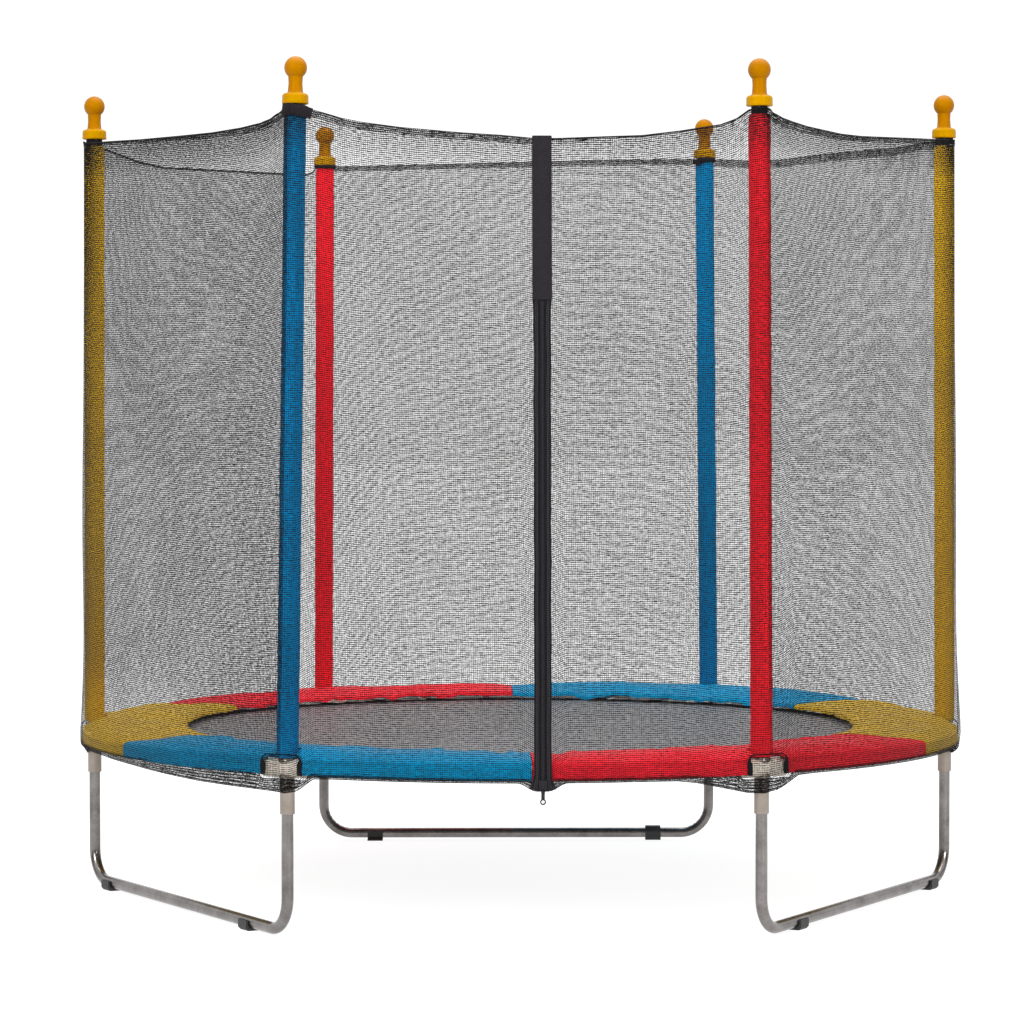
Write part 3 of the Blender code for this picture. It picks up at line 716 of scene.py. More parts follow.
def height_on(matrix, node):
    """How far up the pole's axis a round node starts and ends."""
    local = (node_points(node) - matrix[:3, 3]) @ matrix[:3, :3]
    return local[:, 2].min(), local[:, 2].max()


def build_foam(index, corner, matrix):
    low, high = height_on(matrix, f"pole_foam_{corner}")
    heights = np.linspace(low, high, 150)
    angles = turn_angles(32)
    radius = FOAM_OUTER - 0.0016 * (1 - smoothstep(0, 0.004, np.minimum(heights - low, high - heights)))
    points = around(radius[:, None], angles, heights[:, None])
    lumps = wobble(points * (1.0, 1.0, 0.35), 60.0, 3 + index) * 0.00040 + wobble(points, 140.0, 30 + index) * 0.00012
    seam = np.exp(-((np.abs(angles - math.pi) / 0.11) ** 2)) * -0.0006
    points[:, :, :2] *= (1 + (lumps + seam) / FOAM_OUTER)[:, :, None]
    bore = around(POLE_BORE, angles, np.array([[high], [low]]))
    points = placed(np.concatenate([points, bore]), matrix)
    colour = COLOUR_OF[corner]
    part = grid_parts(points, wrap_rows=True, wrap_columns=True)
    foam = face_out(build(f"foam_{corner}", part, foam_paint[colour], sharp=50))
    finish_piece(foam, "frame", f"foam_{colour}", f"pole_foam_{corner}")


def build_cap(corner, matrix):
    start, top = height_on(matrix, f"pole_cap_{corner}")
    tall = top - start
    collar, neck = CAP_COLLAR, CAP_NECK
    profile = [(POLE_BORE, 0.010), (POLE_BORE, 0.0), (0.0165, 0.0), (collar - 0.0006, 0.0004), (collar, 0.0014)]
    profile += [(collar - 0.0003, 0.0035), (collar - 0.0004, 0.0100)]
    profile += arc(0.0046, 0, 84, 8, (collar - 0.0050, 0.0110))
    profile += [(neck + 0.0024, 0.0162), (neck + 0.0013, 0.0172), (neck + 0.0007, 0.0190), (neck - 0.0001, 0.0300)]
    profile += arc(CAP_BALL, -50, 89, 24, (0, tall - CAP_BALL)) + [(0.0001, tall)]
    lift = matrix.copy()
    lift[:3, 3] += matrix[:3, 2] * start
    cap = face_out(build(f"cap_{corner}", turned(profile, 48, lift), [cap_plastic, collar_plastic], sharp=40))
    for face in cap.data.polygons:
        face.material_index = int((np.array(face.center) - lift[:3, 3]) @ lift[:3, 2] < 0.0160)
    finish_piece(cap, "frame", "cap_yellow", f"pole_cap_{corner}")


for corner_index, corner_name in enumerate(CORNERS):
    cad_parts[f"pole_{corner_name}"].data.materials[0] = zinc
    build_foam(corner_index, corner_name, pole_matrix(corner_name))
    build_cap(corner_name, pole_matrix(corner_name))


# ---------------- mat, rings and springs


def spoke_frame(spoke):
    """Outward and sideways directions of one spring."""
    out = around(1.0, math.tau * (spoke + 0.5) / SPRINGS)
    return out, np.cross(UP, out)


def build_mat():
    hem = 0.554
    angles = turn_angles(216)
    radii = np.concatenate([[0.001], np.linspace(0.04, 0.52, 13), [0.545, 0.5535, 0.5545, 0.570, 0.5815, MAT_RADIUS]])
    lift = np.where(radii > hem, 0.0, -0.0007)
    top = around(radii[:, None], angles, (MAT_TOP - 0.0004 + lift)[:, None])
    top[:, :, 2] += wobble(top, 5.0, 11) * 0.0006 * smoothstep(0.56, 0.40, radii)[:, None]
    top -= around(0.0006 * np.cos(angles * SPRINGS * 2) * smoothstep(0.565, 0.583, radii)[:, None], angles)
    part = grid_parts(np.concatenate([top, top[::-1] - UP * 0.0028]), wrap_columns=True, caps=True)
    mat = build("mat_fabric", part, [mat_black, webbing], sharp=50)
    for face in mat.data.polygons:
        if math.hypot(face.center.x, face.center.y) > hem:
            face.material_index = 1
    finish_piece(face_out(mat), "mat", "mat_black", "mat")


def build_mat_fittings():
    """The webbing tabs round the mat, their wire rings and their stitches."""
    middle = MAT_TOP - 0.0018
    tab_route = (
        (0.548, 0.0026), (0.572, 0.0026), (0.5838, 0.0022), (0.5866, 0.0), (0.5838, -0.0022), (0.572, -0.0026),
        (0.552, -0.0026),
    )
    triangle = (
        (0.5842, -0.0115), (0.5842, 0.0115), (0.5872, 0.0122), (0.5962, 0.0022), (0.5978, 0.0), (0.5962, -0.0022),
        (0.5872, -0.0122), (0.5842, -0.0115),
    )
    tabs, rings, stitches = [], [], []
    for out, side in map(spoke_frame, range(SPRINGS)):
        tab = [out * radius + UP * (middle + lift) for radius, lift in tab_route]
        tabs.append(sweep(smooth_path(tab, 0.002), slab(0.020, 0.0012), first=side))
        loop = [out * radius + side * offset + UP * middle for radius, offset in triangle]
        rings.append(sweep(resample(loop, 0.0022)[:-1], circle(0.0012, 8), closed=True))
        for row in (-0.006, 0.0, 0.006):
            for step in range(6):
                centre = out * (0.551 + step * 0.004) + side * row + UP * (middle + 0.0033)
                dash = np.array([centre - out * 0.0012, centre + out * 0.0012])
                stitches.append(sweep(dash, circle(0.0003, 5), first=UP))
    finish_piece(build("mat_tabs", tabs, webbing, sharp=50), "mat", "mat_black")
    finish_piece(build("mat_rings", rings, spring_steel, sharp=60), "mat", "spring_steel")
    finish_piece(build("mat_stitches", stitches, thread_paint, sharp=60), "mat", "mat_black")


def spring_route(start, end):
    """Wire of one spring along +X: hook, close coil, hook; in x along and a section in y, z."""
    body_start, body_end, radius = start + 0.011, end - 0.011, 0.0043
    turns, steps = 21, 12
    route = [(start + 0.0010, 0.0, -0.0022), (start + 0.0002, 0.0, 0.0), (start + 0.0016, 0.0, 0.0030)]
    route += [(start + 0.0050, 0.0, 0.0036), (start + 0.0085, 0.0004, 0.0022)]
    for step in range(turns * steps + 1):
        share = step / (turns * steps)
        angle = math.tau * step / steps
        fade = min(1.0, share * turns / 0.6, (1 - share) * turns / 0.6)
        grow = radius * (0.35 + 0.65 * fade)
        route.append((body_start + (body_end - body_start) * share, grow * math.sin(angle), grow * math.cos(angle)))
    route += [(end - 0.0085, 0.0004, 0.0022), (end - 0.0050, 0.0, 0.0036), (end - 0.0016, 0.0, 0.0030)]
    route += [(end - 0.0002, 0.0, 0.0), (end - 0.0012, 0.0, -0.0024)]
    return np.array(route)


def build_springs():
    along, across, lift = spring_route(SPRING_START, SPRING_END - 0.0006).T[:, :, None]
    for spoke in range(SPRINGS):
        out, side = spoke_frame(spoke)
        path = out * along + side * across + UP * (lift + MAT_TOP - 0.0018)
        spring = build(f"spring_{spoke:02d}", sweep(path, circle(0.00095, 6), first=side), spring_steel, sharp=60)
        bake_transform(spring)
        if spoke == 0:
            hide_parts("springs")


build_mat()
build_mat_fittings()
build_springs()


# ---------------- pad

CLOTH_FRAMES = 16
CLOTH_REACH = 0.006  # how far the simulation may move a point
CLOTH = {
    "vertex_group_mass": "pin", "vertex_group_shrink": "slack", "shrink_min": 0.0, "shrink_max": -0.09,
    "use_pressure": True, "uniform_pressure_force": 1.5, "quality": 6, "mass": 0.25, "tension_stiffness": 18,
    "compression_stiffness": 18, "shear_stiffness": 6, "bending_stiffness": 0.35,
}


def relax_cloth(obj, **groups):
    """Lets a skin that is cut too large pucker between its seams, then keeps the shape."""
    scene = bpy.context.scene
    before = np.empty(len(obj.data.vertices) * 3)
    obj.data.vertices.foreach_get("co", before)
    for name, weights in groups.items():
        group = obj.vertex_groups.new(name=name)
        for index in np.nonzero(weights > 0)[0]:
            group.add([int(index)], float(weights[index]), "REPLACE")
    cloth = obj.modifiers.new("cloth", "CLOTH")
    for key, value in CLOTH.items():
        setattr(cloth.settings, key, value)
    cloth.settings.effector_weights.gravity = 0
    cloth.collision_settings.use_collision = False
    cloth.point_cache.frame_start = 1
    cloth.point_cache.frame_end = CLOTH_FRAMES
    scene.frame_start, scene.frame_end = 1, CLOTH_FRAMES
    for step in range(1, CLOTH_FRAMES + 1):
        scene.frame_set(step)
    evaluated = obj.evaluated_get(bpy.context.evaluated_depsgraph_get())
    after = np.empty_like(before)
    evaluated.data.vertices.foreach_get("co", after)
    scene.frame_set(1)
    obj.modifiers.remove(cloth)
    obj.vertex_groups.clear()
    move = (after - before).reshape(-1, 3)
    move *= np.minimum(1, CLOTH_REACH / np.maximum(np.linalg.norm(move, axis=1, keepdims=True), 1e-9))
    obj.data.vertices.foreach_set("co", (before.reshape(-1, 3) + move).ravel())
    obj.data.update()


def pad_section():
    """Profile of the pad as (radius, height): over the top, down the skirt and back underneath."""
    rim = PAD_OUTER - 0.0001
    top = [(PAD_INNER + 0.0005, 0.2620), (PAD_INNER - 0.0002, 0.2640), (PAD_INNER + 0.0012, 0.2668)]
    top += [(PAD_INNER + 0.0060, 0.2692), (0.565, 0.2706), (0.600, 0.2722), (0.650, 0.2738), (0.686, 0.2742)]
    top += [(rim - 0.0080, 0.2736), (rim - 0.0034, 0.2718), (rim - 0.0007, 0.2688), (rim, 0.2650)]
    top += [(rim, PAD_BOTTOM + 0.001)]
    under = [(rim - 0.0007, PAD_BOTTOM), (rim - 0.0016, PAD_BOTTOM), (rim - 0.0021, PAD_BOTTOM + 0.002)]
    under += [(rim - 0.0022, 0.2665), (0.664, 0.2672), (0.600, 0.2650), (0.560, 0.2624)]
    return resample(top, 0.0058), resample(under, 0.012)


# How far the pad's outer edge sags, against the azimuth in degrees
PAD_SAG = (
    (0, 0.0045), (5, 0.0045), (12, 0.008), (17, 0.008), (27, 0.005), (40, 0.000), (65, 0.000), (78, 0.0015),
    (90, 0.0045), (108, 0.0070), (115, 0.0045), (125, 0.0045), (132, 0.008), (168, 0.008), (175, 0.0045),
    (185, 0.0045), (192, 0.008), (205, 0.008), (218, 0.004), (232, 0.000), (305, 0.000), (318, 0.003),
    (332, 0.007), (348, 0.008), (355, 0.0045), (360, 0.0045),
)


def pad_sag(azimuth):
    return np.interp(np.degrees(azimuth) % 360, *zip(*PAD_SAG))


def prism(name, low, high):
    """A closed mesh between two outlines with as many points."""
    bm = bmesh.new()
    low, high = ([bm.verts.new(point) for point in outline] for outline in (low, high))
    bm.faces.new(low[::-1])
    bm.faces.new(high)
    for index in range(len(low)):
        follow = (index + 1) % len(low)
        bm.faces.new((low[index], low[follow], high[follow], high[index]))
    bmesh.ops.recalc_face_normals(bm, faces=bm.faces)
    mesh = bpy.data.meshes.new(name)
    bm.to_mesh(mesh)
    bm.free()
    return mesh


def pad_cutters(name, drop):
    """Room for the pole, and a window with round upper corners for the corner joint, with its outline."""
    pole, half, fillet = 0.0185, 0.0335, 0.011
    hole = [(0.6705, 0.006 - pole), (0.6705, pole - 0.006), (0.6765, pole), (0.7036, pole), (0.7036, -pole)]
    hole.append((0.6765, -pole))
    sill, turn = 0.225, 0.2715 - drop - fillet
    window = [(-half, sill)] + arc(fillet, 180, 90, 7, (-half + fillet, turn))
    window += arc(fillet, 90, 0, 7, (half - fillet, turn)) + [(half, sill)]
    by_pole = prism(name, *([(x, y, z) for x, y in hole] for z in (0.23, 0.30)))
    return by_pole, prism(f"{name}_window", *([(x, y, z) for y, z in window] for x in (0.6900, 0.760))), window


def cut(obj, mesh):
    tool = bpy.data.objects.new("tool", mesh)
    bpy.context.collection.objects.link(tool)
    modifier = obj.modifiers.new("cut", "BOOLEAN")
    modifier.operation = "DIFFERENCE"
    modifier.solver = "MANIFOLD"  # the exact solver empties a puckered pad
    modifier.object = tool
    bpy.context.view_layer.update()
    apply_modifiers(obj)
    bpy.data.objects.remove(tool)


def apply_modifiers(obj):
    result = bpy.data.meshes.new_from_object(obj.evaluated_get(bpy.context.evaluated_depsgraph_get()))
    obj.modifiers.clear()
    obj.data = result


def bell(x, width):
    return np.exp(-((x / width) ** 2))


def pad_points(index, corner, angles, profile, top_rows):
    """The grid of one pad panel: sagged at its rim and puckered at its inner edge."""
    radius, height = profile.T
    inner = radius - PAD_INNER
    is_top = np.arange(len(profile)) < top_rows
    points = around(radius, angles[:, None], height)
    sag = pad_sag(angles)[:, None] * smoothstep(0.585, 0.690, radius)
    tall = np.clip((height - PAD_BOTTOM) / 0.030, 0, 1)
    near_joint = 30 - np.abs(np.degrees(angles) % 60 - 30)
    under_sag = 0.0008 + 0.0020 * smoothstep(4, 9, near_joint)[:, None]
    points[:, :, 2] -= np.minimum(sag * tall, np.where(is_top | (radius > PAD_OUTER - 0.004), 1.0, under_sag))
    if corner in ("left", "right"):
        wider = 0.008 * np.cos(3 * (angles - corner_azimuth(index))).clip(0) ** 2
        points -= around(wider[:, None] * bell(inner, 0.030), angles[:, None])
    spokes = around(1.0, angles)
    fold = noise_at(spokes, 24.0, (index * 3.1, 0, 0)) * 1.7 + noise_at(spokes, 11.0, (0, index * 2.3, 5)) * 1.2
    points[:, :, 2] += 0.0042 * PUCKER[corner] * fold[:, None] * bell(inner, 0.055)
    wavy = noise_at(spokes, 15.0, (4, 0, index * 1.9)) * 1.6
    reach = 0.0046 * (0.25 + 0.75 * PUCKER[corner]) * wavy[:, None] * bell(inner, 0.018)
    points += around(reach, angles[:, None])
    top = profile[:top_rows]
    lateral = path_lengths(top)
    edge = smoothstep(0, 0.02, np.minimum(lateral, lateral[-1] - lateral)) * (top[:, 0] < PAD_OUTER - 0.006)
    points[:, :top_rows, 2] += wobble(points[:, :top_rows], 14.0, 40 + index) * 0.0014 * edge
    return points


PUCKER = dict(zip(CORNERS, (0.25, 0.75, 0.75, 0.25, 1.0, 1.0)))  # how strongly each panel is puckered


def pucker_pad(pad, corner, profile, top_rows, sections):
    """Frees the upper skin of a panel but its edges, cut larger towards the mat, and simulates it."""
    rows = np.arange(len(profile))
    pinned = np.ones((sections, len(profile)))
    pinned[1:-1, (rows > 1) & (rows < top_rows - 1)] = 0.0
    loose = np.zeros((sections, len(profile)))
    loose[:, :top_rows] = 0.25 + 0.75 * bell(profile[:top_rows, 0] - PAD_INNER, 0.06)
    relax_cloth(pad, pin=pinned.ravel(), slack=loose.ravel() * (0.35 + 0.65 * PUCKER[corner]))


def build_pad():
    top, under = pad_section()
    profile = np.concatenate([top, under])
    sections = 112
    half = math.pi / 6 - 0.0004 / PAD_INNER
    for index, corner in enumerate(CORNERS):
        colour = COLOUR_OF[corner]
        azimuth = corner_azimuth(index)
        angles = azimuth + PAD_TURN + np.linspace(-half, half, sections)
        part = grid_parts(pad_points(index, corner, angles, profile, len(top)), wrap_columns=True, caps=True)
        pad = face_out(build(f"pad_{corner}_cover", part, [pad_paint[colour], binding_paint], sharp=70))
        pucker_pad(pad, corner, profile, len(top), sections)
        turn = Matrix.Rotation(azimuth, 4, "Z")
        drop = float(pad_sag(azimuth))
        *tools, window = pad_cutters(f"key_{corner}", drop)
        for tool in tools:
            tool.transform(turn)
            cut(pad, tool)
        soften(pad.data, 60)
        finish_piece(pad, "frame", f"pad_{colour}", f"pad_{corner}")

        band = face_out(build(f"pad_{corner}_binding", binding(window, drop), binding_paint, sharp=50))
        band.data.transform(turn)
        finish_piece(band, "frame", f"pad_{colour}")


def binding(window, drop):
    """Tape round a window in the skirt: wide at its sides and a thin line over its top."""
    radius = PAD_OUTER + 0.0006
    path = smooth_path([(radius, y, max(z, PAD_BOTTOM - 0.0005)) for y, z in window], 0.0025)
    path[:, 0] = np.sqrt(np.maximum(radius**2 - path[:, 1] ** 2, 0))
    path[:, 0] -= smoothstep(0.2690, 0.2716, path[:, 2] + drop) * 0.0024
    width = (0.0080 - 0.0064 * smoothstep(0.2600, 0.2690, path[:, 2] + drop))[:, None]
    out = unit(path * (1, 1, 0))
    across = unit(np.cross(out, unit(np.gradient(path, axis=0))))
    flip = np.sign((across * (np.array((radius, 0.0, PAD_BOTTOM)) - path)).sum(axis=1))
    across = across * np.where(flip == 0, 1, flip)[:, None]
    section = np.array(slab(1.0, 0.0012))
    centre = path + across * (width / 2 - 0.0022)
    points = centre[:, None] + (across * width)[:, None] * section[:, :1] + out[:, None] * section[:, 1:]
    return grid_parts(points, wrap_columns=True, caps=True)


build_pad()


# ---------------- net

# Height of the net's top edge against the share of the way along each side
NET_EDGE = {
    "right_back": (
        (0, 1.2085), (0.12, 1.2082), (0.2, 1.2052), (0.36, 1.206), (0.52, 1.2065), (0.69, 1.2045), (0.8, 1.207),
        (0.94, 1.2155), (1, 1.217),
    ),
    "back": ((0, 1.2185), (0.05, 1.2185), (0.28, 1.2171), (0.54, 1.2121), (0.8, 1.2075), (0.955, 1.2052), (1, 1.2065)),
    "left_back": (
        (0, 1.2065), (0.02, 1.2015), (0.04, 1.1925), (0.07, 1.1876), (0.27, 1.1834), (0.53, 1.1785), (0.68, 1.1753),
        (0.78, 1.18), (0.88, 1.1911), (0.95, 1.199), (1, 1.2035),
    ),
    "left_front": (
        (0, 1.201), (0.116, 1.1984), (0.3, 1.1937), (0.5, 1.1903), (0.65, 1.1883), (0.786, 1.1893), (0.877, 1.1924),
        (0.922, 1.1968), (0.958, 1.2038), (0.98, 1.2092), (1, 1.211),
    ),
    "front": (
        (0, 1.211), (0.049, 1.206), (0.068, 1.2024), (0.11, 1.1938), (0.152, 1.188), (0.235, 1.1804), (0.36, 1.1729),
        (0.444, 1.1693), (0.51, 1.165), (0.555, 1.1647), (0.65, 1.1664), (0.74, 1.1685), (0.82, 1.1751),
        (0.905, 1.1844), (0.936, 1.1924), (0.965, 1.206), (1, 1.21),
    ),
    "right_front": (
        (0, 1.21), (0.035, 1.2035), (0.069, 1.1987), (0.118, 1.1952), (0.2, 1.1912), (0.37, 1.188), (0.476, 1.1894),
        (0.583, 1.193), (0.694, 1.1969), (0.807, 1.2008), (0.9, 1.2037), (1, 1.2075),
    ),
}
# How tall the folded edge is, and how thick the cord in it, against the share of the way along
FOLD_TALL = {
    "right_back": ((0, 0.0110), (0.5, 0.0135), (1, 0.0130)), "back": ((0, 0.0100), (1, 0.0090)),
    "left_back": ((0, 0.0030), (1, 0.0030)), "left_front": ((0, 0.0045), (0.5, 0.0060), (0.85, 0.0100), (1, 0.0120)),
    "front": ((0, 0.0110), (0.5, 0.0095), (0.60, 0.0065), (0.66, 0.0025), (1, 0.0025)),
    "right_front": ((0, 0.0140), (0.3, 0.0100), (0.6, 0.0080), (1, 0.0070)),
}
CORD_THICK = {
    "right_back": ((0, 0.0004), (1, 0.0004)), "back": ((0, 0.0003), (1, 0.0003)),
    "left_back": ((0, 0.0009), (0.7, 0.0011), (1, 0.0014)), "left_front": ((0, 0.0010), (0.6, 0.0010), (1, 0.0006)),
    "front": ((0, 0.0004), (0.58, 0.0004), (0.66, 0.0010), (1, 0.0007)), "right_front": ((0, 0.0006), (1, 0.0008)),
}
NET_TOP = 1.210
PAD_HUG = 0.2580
STAND_OFF = 0.0174
FOAM_CLEAR = 0.0171
SOCKET_CLEAR = 0.0122
ZIP_ALONG = 0.533
ZIP_FOOT = 0.2292
# Height of the net's foot against degrees from the pole, going round to the right as seen from the front
FOOT_TABLE = {
    "front_left": ((-36, 0.2400), (-27, 0.2357), (-13, 0.2246), (-5.2, 0.2207), (-2.3, 0.2190), (0, 0.2172)),
    "other": ((-19, 0.2415), (-12, 0.2405), (-9.6, 0.2368), (-2.2, 0.2172), (0, 0.2160)),
    "after": ((0, 0.2165), (1.6, 0.2195), (2.4, 0.2240), (4.4, 0.2400), (7, 0.2412)),
}


def net_corner(index):
    """Where the net's top corner stands, just outside the pole."""
    corner = CORNERS[index % 6]
    low, high = axis_ends(f"pole_{corner}")
    height = min(NET_TOP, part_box(f"pole_cap_{corner}")[0][2] - 0.002)
    point = low + (high - low) * (height - low[2]) / (high[2] - low[2])
    return point + around(STAND_OFF, corner_azimuth(index))


def clear_of_pole(points, index):
    """Moves points that are too near a pole's axis out to just outside its foam."""
    low, high = axis_ends(f"pole_{CORNERS[index % 6]}")
    up = unit(high - low)
    offset = points - low
    offset -= (offset @ up)[..., None] * up
    distance = np.linalg.norm(offset, axis=-1, keepdims=True)
    clearance = SOCKET_CLEAR + (FOAM_CLEAR - SOCKET_CLEAR) * smoothstep(0.262, 0.272, points[..., 2:])
    push = np.maximum(clearance - distance, 0)
    return points + offset / np.maximum(distance, 1e-6) * push


def foot_height(side, along):
    angle = 60 * along
    table = FOOT_TABLE.get(CORNERS[(side + 1) % 6], FOOT_TABLE["other"])
    height = np.minimum(np.interp(angle, *zip(*FOOT_TABLE["after"])), np.interp(angle - 60, *zip(*table)))
    if SIDES[side] == "front":
        beside = np.abs(along - ZIP_ALONG) * NET_WIDTH
        by_zip = ZIP_FOOT + 0.0120 * smoothstep(0.008, 0.034, beside) + np.maximum(beside - 0.034, 0)
        height = np.minimum(height, by_zip)
    return height


def net_point(side, along, rise):
    """Points of the net; along and rise go from 0 to 1 and may be arrays of one shape."""
    along, rise = np.broadcast_arrays(np.asarray(along, dtype=float), np.asarray(rise, dtype=float))
    near = 60 * np.minimum(along, 1 - along)
    out = around(1.0, corner_azimuth(side) + math.radians(60) * along)
    low = foot_height(side, along)
    high = np.interp(along, *zip(*NET_EDGE[SIDES[side]]))
    height = low + (high - low) * rise
    a, b = net_corner(side), net_corner(side + 1)
    top = a + (b - a) * along[..., None]
    hug = out * (PAD_OUTER + 0.0024)
    share = np.clip((height - PAD_HUG) / (high - PAD_HUG), 0, None)
    point = hug + (top - hug) * share[..., None] - out * (6.0 * np.clip(PAD_HUG - height, 0, None) ** 2)[..., None]
    point[..., 2] = height
    calm = smoothstep(0, 0.05, rise) * (1 - smoothstep(0.97, 1.0, rise))
    sway = wobble(point, 3.2, 5) * 0.0022 + wobble(point * (1, 1, 0.25), 13.0, 9) * 0.0007
    folds = np.sin(near * 2.1) * bell(near, 6) * smoothstep(0.80, 1.0, rise) * 0.0014
    point = point + out * (calm * sway + folds)[..., None]
    return clear_of_pole(clear_of_pole(point, side), side + 1)


def net_shares(start, end):
    """Shares of the way along, closer together by the poles."""
    count = int(round((end - start) * 100)) + 1
    shares = set(np.linspace(start, end, count).tolist())
    for step in np.linspace(0, 0.075, 16):
        for share in (step, 1 - step, ZIP_ALONG - step, ZIP_ALONG + step):
            if start < share < end:
                shares.add(float(share))
    return np.array(sorted(shares))


def build_nets():
    gap = 0.0004
    slot = 0.003 / RING_RADIUS
    rise = np.concatenate([np.linspace(0, 0.05, 14)[:-1], np.linspace(0.05, 1, 62)])
    for side, label in enumerate(SIDES):
        spans = [(f"net_{label}", gap, 1 - gap)]
        if label == "front":
            spans = [("net_front_left_half", gap, ZIP_ALONG - slot)]
            spans.append(("net_front_right_half", ZIP_ALONG + slot, 1 - gap))
        for node, start, end in spans:
            grid_along, grid_rise = np.meshgrid(net_shares(start, end), rise, indexing="ij")
            points = net_point(side, grid_along, grid_rise)
            uv = np.stack([grid_along * NET_WIDTH, grid_rise * NET_HEIGHT], axis=2)
            sheet = build(f"{node}_sheet", grid_parts(points, uv=uv), net_paints[label])
            finish_piece(sheet, "frame", "net_black", node)
            edges = build_net_edges(side, label, np.linspace(start, end, int((end - start) * 150)), node)


def fold_rows(path, tall, half, lean):
    """A narrow fold of net that stands over a path, or hangs under it, with an inner and an outer wall."""
    rows = []
    for point, out, h, tilt in zip(path, unit(path * (1, 1, 0)), tall, lean):
        lip = np.sign(h)
        section = [(half, h), (half + tilt, h / 2), (half * 0.8, 0.0008 * lip), (0, -0.0004 * lip)]
        section += [(-half * 0.8, 0.0008 * lip), (-half, h / 2), (-half, h)]
        rows.append([point + out * x + UP * z for x, z in section])
    return grid_parts(np.array(rows))


def build_net_edges(side, label, along, node):
    """The folded top edge with its puckers, and the gathered foot with its elastic and a thin dark cord along the
    fold's top, painted shade for the pad's lower edge.
    """
    pucker = noise_along(along, 38, side * 4.0, 0) * 1.5
    tall = np.interp(along, *zip(*FOLD_TALL[label])) * (1 + 0.12 * pucker)
    line = net_point(side, along, 1.0)
    thick = np.interp(along, *zip(*CORD_THICK[label]))
    cord = (*sweep(line, circle(1.0, 6), scale=thick), 1)
    hem = build(f"hem_{node}", [fold_rows(line, -tall, 0.0011, 0.0006 * pucker), cord], [net_fold, webbing])
    finish_piece(hem, "frame", "net_black")
    foot = net_point(side, along, 0.0)
    by_pole = np.minimum(along, 1 - along)
    deep = 0.2470 - 0.0105 * smoothstep(0.066, 0.052, by_pole) - foot[:, 2]
    deep = np.clip(deep, 0.004, 0.026) + 0.0008 * pucker
    gathered = build(f"foot_fold_{node}", fold_rows(foot, deep, 0.0014, 0.0010 * pucker), net_foot)
    finish_piece(gathered, "frame", "net_black")
    # The upper cord is a thin dark line of painted shade: it stands for the shade under the pad's lower edge, and it
    # is thickest by the poles.
    upper = 0.0002 + 0.0004 * smoothstep(0.10, 0.06, by_pole)
    cords = [sweep(foot, circle(0.0005, 6)), sweep(foot + UP * deep[:, None], circle(1.0, 6), scale=upper)]
    elastic_and_shade_cord = build(f"foot_elastic_and_shade_cord_{node}", cords, webbing)
    finish_piece(elastic_and_shade_cord, "frame", "webbing_black")
    return hem, gathered, elastic_and_shade_cord


build_nets()


# Radius, lowest and highest point of the strap round each pole, its slope to the right, and its tail:
# start angle, length, drop and width
STRAPS = {
    "right": (0.0128, 1.2015, 1.2100, -0.10, 270, 0.008, 0.000, 0.006),
    "back_right": (0.0178, 1.2110, 1.2190, -0.10, 150, 0.016, 0.004, 0.010),
    "back_left": (0.0178, 1.2008, 1.2052, 0.02, 150, 0.021, 0.001, 0.004),
    "left": (0.0112, 1.1975, 1.2072, 0.00, 90, 0.004, 0.002, 0.007),
    "front_left": (0.0176, 1.1975, 1.2147, 0.13, 30, 0.025, 0.003, 0.0155),
    "front_right": (0.0100, 1.1985, 1.2117, 0.00, -30, 0.006, 0.002, 0.012),
}


def build_strap(corner):
    """A webbing loop that holds the net's top corner to the pole, with a short tail."""
    matrix = pole_matrix(corner)
    axis = matrix[:3, 2]
    radius, low, high, slope, turn, reach, fall, tail_width = STRAPS[corner]
    wide, centre = high - low, (low + high) / 2 - matrix[2, 3]
    middle = (matrix[:3, 3] + axis * centre)[0]
    strips = []
    angles = np.radians(np.linspace(turn, turn + 352, 56))
    for layer, share in enumerate((1, 0.85)):
        swell = radius + 0.0004 * np.sin(angles * 3 + layer * 2) + 0.0012 * layer
        wander = centre + 0.0006 * np.sin(angles * 2 + layer) + (0.0006 if layer else -0.0003)
        strips.append((around(swell, angles, wander), wide * share))
    out = around(1.0, math.radians(turn))
    tail = []
    for share in np.linspace(0, 1, 7):
        point = out * (radius + 0.0027 + 0.0010 * math.sin(share * 3))
        point -= np.cross(UP, out) * (0.006 - (reach + 0.006) * share)
        tail.append(point + UP * (centre - fall * share**1.3))
    parts = []
    for points, width in (*strips, (tail, tail_width)):
        points = placed(points, matrix)
        points[:, 2] -= slope * (points[:, 0] - middle)
        parts.append(sweep(points, slab(width, 0.0012), first=axis))
    finish_piece(build(f"strap_{corner}", parts, webbing, sharp=50), "frame", "webbing_black")


for corner_name in CORNERS:
    build_strap(corner_name)


# ---------------- zip

ZIP_LOW, ZIP_HIGH = axis_ends("zip_tape", 0.004)
ZIP_LENGTH = float(np.linalg.norm(ZIP_HIGH - ZIP_LOW))
ZIP_UP = unit(ZIP_HIGH - ZIP_LOW)
ZIP_SIDE = np.array((1.0, 0, 0))
ZIP_OUT = np.cross(ZIP_SIDE, ZIP_UP)
COVER_START = 0.706
TAPE_ROWS = 170
TAPE_COLUMNS = (0.0016, 0.0030, 0.0055, 0.0085, 0.0110, 0.0125)


